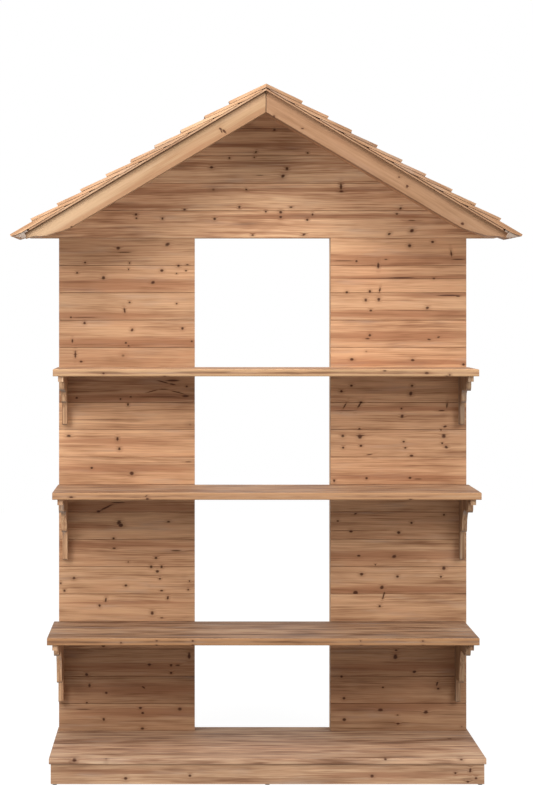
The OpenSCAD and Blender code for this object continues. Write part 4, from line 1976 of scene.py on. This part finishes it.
@dataclass(frozen=True)
class Shingle:
    """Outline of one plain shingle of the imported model, seen from the front.

    Attributes:
        faces: Corners of the underside and of the upper face, from the head to the lower end.
        front: Where its front edge lies, along +Y.
        back: Where its back edge lies.
    """

    faces: tuple[Sequence[Vector], Sequence[Vector]]
    front: float
    back: float

    @staticmethod
    def of_solid(points: Sequence[Vector], down: Vector, up: Vector) -> Shingle:
        """Read the outline from the corners of a solid.

        Args:
            points: The corners.
            down: Direction down the slope.
            up: Direction square to the slope.

        Returns:
            The outline.
        """
        front = min(point.y for point in points)
        back = max(point.y for point in points)
        near = [point for point in points if point.y < (front + back) / 2]
        near.sort(key=lambda point: point.dot(down))
        head = sorted(near[:2], key=lambda point: point.dot(up))
        butt = sorted(near[-2:], key=lambda point: point.dot(up))
        faces = ([head[0], butt[0]], [head[1], butt[1]])
        for kink in near[2:-2]:
            gaps = [
                abs((kink - low).dot((high - low).cross(Vector((0, 1, 0))).normalized()))
                for low, high in faces
            ]
            faces[gaps.index(min(gaps))].insert(1, kink)
        return Shingle(faces, front, back)

    def shares(self, rows: int, down: Vector) -> list[float]:
        """Places of the rows from the head, 0, to the lower end, 1, with a row at each kink.

        Args:
            rows: Number of steps between rows.
            down: Direction down the slope.

        Returns:
            The shares.
        """
        shares = [row / rows for row in range(rows + 1)]
        for face in self.faces:
            for kink in face[1:-1]:
                length = (face[-1] - face[0]).dot(down)
                share = (kink - face[0]).dot(down) / length
                nearest = min(range(1, rows), key=lambda row: abs(shares[row] - share))
                shares[nearest] = share
        return shares

    def length(self, down: Vector) -> float:
        """Length of the underside, down the slope."""
        return (self.faces[0][-1] - self.faces[0][0]).dot(down)

    def point(self, level: int, share: float, part: float, down: Vector) -> Vector:
        """Point of the underside or of the upper face.

        Args:
            level: 0 on the underside, 1 on the upper face.
            share: Place from the head, 0, to the lower end, 1.
            part: Place from the front, 0, to the back, 1.
            down: Direction down the slope.

        Returns:
            The point.
        """
        face = self.faces[level]
        reach = share * (face[-1] - face[0]).dot(down)
        for start, end in zip(face, face[1:]):
            length = (end - start).dot(down)
            so_far = (start - face[0]).dot(down)
            if reach <= so_far + length + 1e-7:
                break
        point = start.lerp(end, (reach - so_far) / length)
        point.y = self.front + (self.back - self.front) * part
        return point


@dataclass
class ShingleRoof(SubAssembly):
    """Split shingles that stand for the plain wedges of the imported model.

    Attributes:
        courses: Number of courses.
        rows: Steps along a shingle.
        columns: Steps across a shingle.
        arris: Wear of its edges.
        furrow: Depth of the split grain.
        ragged: How far its lower end is broken back.
        hollow: How far its face is cupped at the lower end.
        eave_bevel: How much thinner the lowest shingles are at their lower ends.
        bevel_length: Length over which they get thinner.
    """

    courses: int = 10
    rows: int = 16
    columns: int = 14
    arris: float = 0.0006
    furrow: float = 0.0008
    ragged: float = 0.0016
    hollow: float = 0.0005
    eave_bevel: float = 0.0065
    bevel_length: float = 0.030

    def build(self) -> None:
        """Make every course as one piece on each side, in place of its node."""
        materials = {
            side: fir.material(f"{name}_shingle_wood", Grain.slope(side), seed, Boards(lot="lot"))
            for side, name, seed, fir in (
                (-1, "left", 401.0, LEFT_SHINGLE_FIR), (1, "right", 433.0, RIGHT_SHINGLE_FIR),
            )
        }
        for course in range(1, self.courses + 1):
            node = f"shingle_course_{course}"
            solids = loose_solids(self.nodes[node])
            for side, name in ((-1, "left"), (1, "right")):
                own = [points for points in solids if sum(point.x for point in points) * side > 0]
                piece = self._course(own, f"{name}_split_shingles_{course}", side, course)
                piece.data.materials.append(materials[side])
                self.stand_for(piece, node, "shingles")

    def _course(
        self, solids: Sequence[Sequence[Vector]], name: str, side: int, course: int
    ) -> bpy.types.Object:
        """Make the shingles of one course on one side.

        Args:
            solids: Corners of each plain shingle.
            name: Name of the new piece.
            side: -1 on the left, 1 on the right.
            course: Number of the course, from the eave.

        Returns:
            The piece.
        """
        climb, up = (Vector(way) for way in slope_ways(side))
        down = -climb
        mesh = bmesh.new()
        lots = mesh.faces.layers.float.new("lot")
        shingles = sorted(
            (Shingle.of_solid(points, down, up) for points in solids),
            key=lambda shingle: shingle.front,
        )
        for number, shingle in enumerate(shingles):
            bevel = self.eave_bevel if course == 1 else 0.0
            self._shingle(mesh, lots, shingle, (down, up), course * 10 + number, bevel)
        bmesh.ops.recalc_face_normals(mesh, faces=mesh.faces)
        return as_piece(mesh, name)

    def _shingle(
        self,
        mesh: bmesh.types.BMesh,
        lots: bmesh.types.BMLayerItem,
        shingle: Shingle,
        ways: tuple[Vector, Vector],
        seed: int,
        bevel: float,
    ) -> None:
        """Add one split shingle, which stays inside the plain one.

        Args:
            mesh: Mesh to add it to.
            lots: Layer for the shingle's number.
            shingle: The plain shingle.
            ways: Directions down the slope and square to it.
            seed: Number that sets it apart.
            bevel: How much thinner its lower end is than the plain one's.
        """
        shares = shingle.shares(self.rows, ways[0])
        grids = []
        for level in (0, 1):
            grid = []
            for share in shares:
                line = []
                for column in range(self.columns + 1):
                    part = column / self.columns
                    point = shingle.point(level, share, part, ways[0])
                    if level == 0:
                        rest = (1.0 - share) * shingle.length(ways[0])
                        point += ways[1] * bevel * max(0.0, 1.0 - rest / self.bevel_length)
                    line.append(mesh.verts.new(self._split(point, share, part, level, ways, seed)))
                grid.append(line)
            grids.append(grid)
        faces = []
        for row in range(self.rows):
            for column in range(self.columns):
                for level, grid in enumerate(grids):
                    ring = [
                        grid[row][column], grid[row][column + 1],
                        grid[row + 1][column + 1], grid[row + 1][column],
                    ]
                    faces.append(mesh.faces.new(ring if level else ring[::-1]))
        low, high = grids
        rim = []
        for row in range(self.rows):
            rim += [((row, end), (row + 1, end)) for end in (0, self.columns)]
        for column in range(self.columns):
            rim += [((end, column), (end, column + 1)) for end in (0, self.rows)]
        for (row, column), (next_row, next_column) in rim:
            faces.append(mesh.faces.new([
                low[row][column], low[next_row][next_column],
                high[next_row][next_column], high[row][column],
            ]))
        for face in faces:
            face[lots] = (seed % LOT_STEPS) / LOT_STEPS

    def _split(
        self,
        point: Vector,
        share: float,
        part: float,
        level: int,
        ways: tuple[Vector, Vector],
        seed: int,
    ) -> Vector:
        """Move a point of a shingle inwards, as splitting and wear leave it.

        Args:
            point: The point on the plain shingle.
            share: Its place from the head, 0, to the lower end, 1.
            part: Its place from the front, 0, to the back, 1.
            level: 0 on the underside, 1 on the upper face.
            ways: Directions down the slope and square to it.
            seed: Number of the shingle.

        Returns:
            The moved point.
        """
        down, up = ways
        across = part * 9.0 + seed * 3.7
        ridge = noise.noise(Vector((across, share * 1.2, seed * 1.3)))
        fine = noise.noise(Vector((across * 3.1, share * 2.0, seed * 0.7)))
        moved = point.copy()
        if level:
            sink = self.furrow * (0.5 + 0.35 * ridge + 0.15 * fine)
            sink += self.hollow * (1.0 - (2.0 * part - 1.0) ** 2) * share
            if part in (0.0, 1.0) or share == 1.0:
                sink += self.arris
            moved -= up * sink
        if share == 1.0:
            rag = 0.5 + 0.5 * noise.noise(Vector((part * 5.0, seed * 2.1, 0.4)))
            moved -= down * self.ragged * rag * (1.0 if level else 0.7)
        if part in (0.0, 1.0):
            wave = 0.5 + 0.5 * noise.noise(Vector((share * 3.0, seed * 1.9, part)))
            moved.y += (0.5 - part) * 2.0 * self.arris * wave
        return moved


# ---------- studio ----------


@dataclass(frozen=True)
class Lamp:
    """A soft square lamp that is aimed at the bookcase.

    Attributes:
        name: Its name.
        place: Where it hangs.
        watts: Its power.
        size: Length of its sides.
        aim: The point that it is turned to.
    """

    name: str
    place: Triple
    watts: float
    size: float
    aim: Triple = (0.0, 0.0, 1.0)

    def build(self) -> None:
        """Hang the lamp."""
        data = bpy.data.lights.new(self.name, "AREA")
        data.shape = "SQUARE"
        data.size = self.size
        data.energy = self.watts
        lamp = bpy.data.objects.new(self.name, data)
        lamp.location = self.place
        aim = Vector(self.aim) - Vector(self.place)
        lamp.rotation_euler = aim.to_track_quat("-Z", "Y").to_euler()
        bpy.context.scene.collection.objects.link(lamp)
        LOG.info("%s: %g W", self.name, self.watts)


@dataclass
class Studio:
    """Pale floor, soft lamps, white surroundings and the camera.

    Attributes:
        floor_size: Length of the floor's sides.
        ambient: Strength of the light from all round.
        glow: Own brightness of the floor where it is seen.
        shadow: Share of the lamps' light that the seen floor adds, so that shadows show.
        bounce: Share of the light that the floor throws back on the bookcase.
        lamps: The lamps.
    """

    floor_size: float = 14.0
    ambient: float = 0.45
    glow: float = 0.92
    shadow: float = 0.16
    bounce: float = 0.54
    lamps: Sequence[Lamp] = (
        Lamp("left_softbox", (-2.9, -3.3, 2.9), 118.0, 1.9),
        Lamp("right_softbox", (2.9, -3.3, 2.9), 104.0, 1.9),
        Lamp("overhead_softbox", (-0.7, -1.8, 3.9), 88.0, 2.0, (0.0, -0.1, 0.9)),
    )

    def build(self) -> None:
        """Set up the studio."""
        for lamp in self.lamps:
            lamp.build()
        self._surroundings()
        self._floor()
        scene = bpy.context.scene
        scene.camera = VIEW.camera()
        scene.view_settings.view_transform = "Standard"

    @staticmethod
    def _seen(graph: Graph) -> Signal:
        """1 for rays that show the background: from the camera, a gloss or a glass."""
        path = graph.add("ShaderNodeLightPath")
        return path.other("Is Camera Ray").most(path.other("Is Glossy Ray")).most(
            path.other("Is Transmission Ray")
        )

    def _surroundings(self) -> None:
        """White where it is seen, plain soft light elsewhere."""
        world = bpy.data.worlds.new("studio")
        world.use_nodes = True
        bpy.context.scene.world = world
        graph = Graph(world.node_tree)
        light = graph.add("ShaderNodeBackground", None, {"Color": 1.0, "Strength": self.ambient})
        shown = graph.add("ShaderNodeBackground", None, {"Color": 1.0, "Strength": 1.0})
        surface = graph.add(
            "ShaderNodeMixShader", None, {0: self._seen(graph), 1: light, 2: shown}
        )
        graph.end("ShaderNodeOutputWorld", {"Surface": surface})

    def _floor(self) -> None:
        """A pale floor that takes a faint shadow."""
        half = self.floor_size / 2
        corners = ((-half, -half), (half, -half), (half, half), (-half, half))
        shape = bmesh.new()
        shape.faces.new([shape.verts.new((x, y, 0.0)) for x, y in corners])
        floor = as_piece(shape, "studio_floor")
        material, graph = Graph.of_material("pale_floor")
        matt = graph.add("ShaderNodeBsdfDiffuse", None, {"Color": self.bounce})
        white = graph.add("ShaderNodeEmission", None, {"Color": 1.0, "Strength": self.glow})
        pale = graph.add("ShaderNodeBsdfDiffuse", None, {"Color": self.shadow})
        shown = graph.add("ShaderNodeAddShader", None, {0: white, 1: pale})
        surface = graph.add("ShaderNodeMixShader", None, {0: self._seen(graph), 1: matt, 2: shown})
        graph.end("ShaderNodeOutputMaterial", {"Surface": surface})
        floor.data.materials.append(material)


def main() -> None:
    """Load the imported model, dress every sub-assembly and light it."""
    logging.basicConfig(level=logging.INFO, format="%(name)s: %(message)s")
    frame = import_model()
    nodes = frame["nodes"]
    assemblies = (Plinth, Walls, Shelves, Brackets, Screws, Gable, RoofFrame, ShingleRoof)
    for assembly in assemblies:
        assembly(nodes).build()
        LOG.info("%s: done", assembly.__name__)
    Studio().build()


if __name__ == "__main__":
    main()
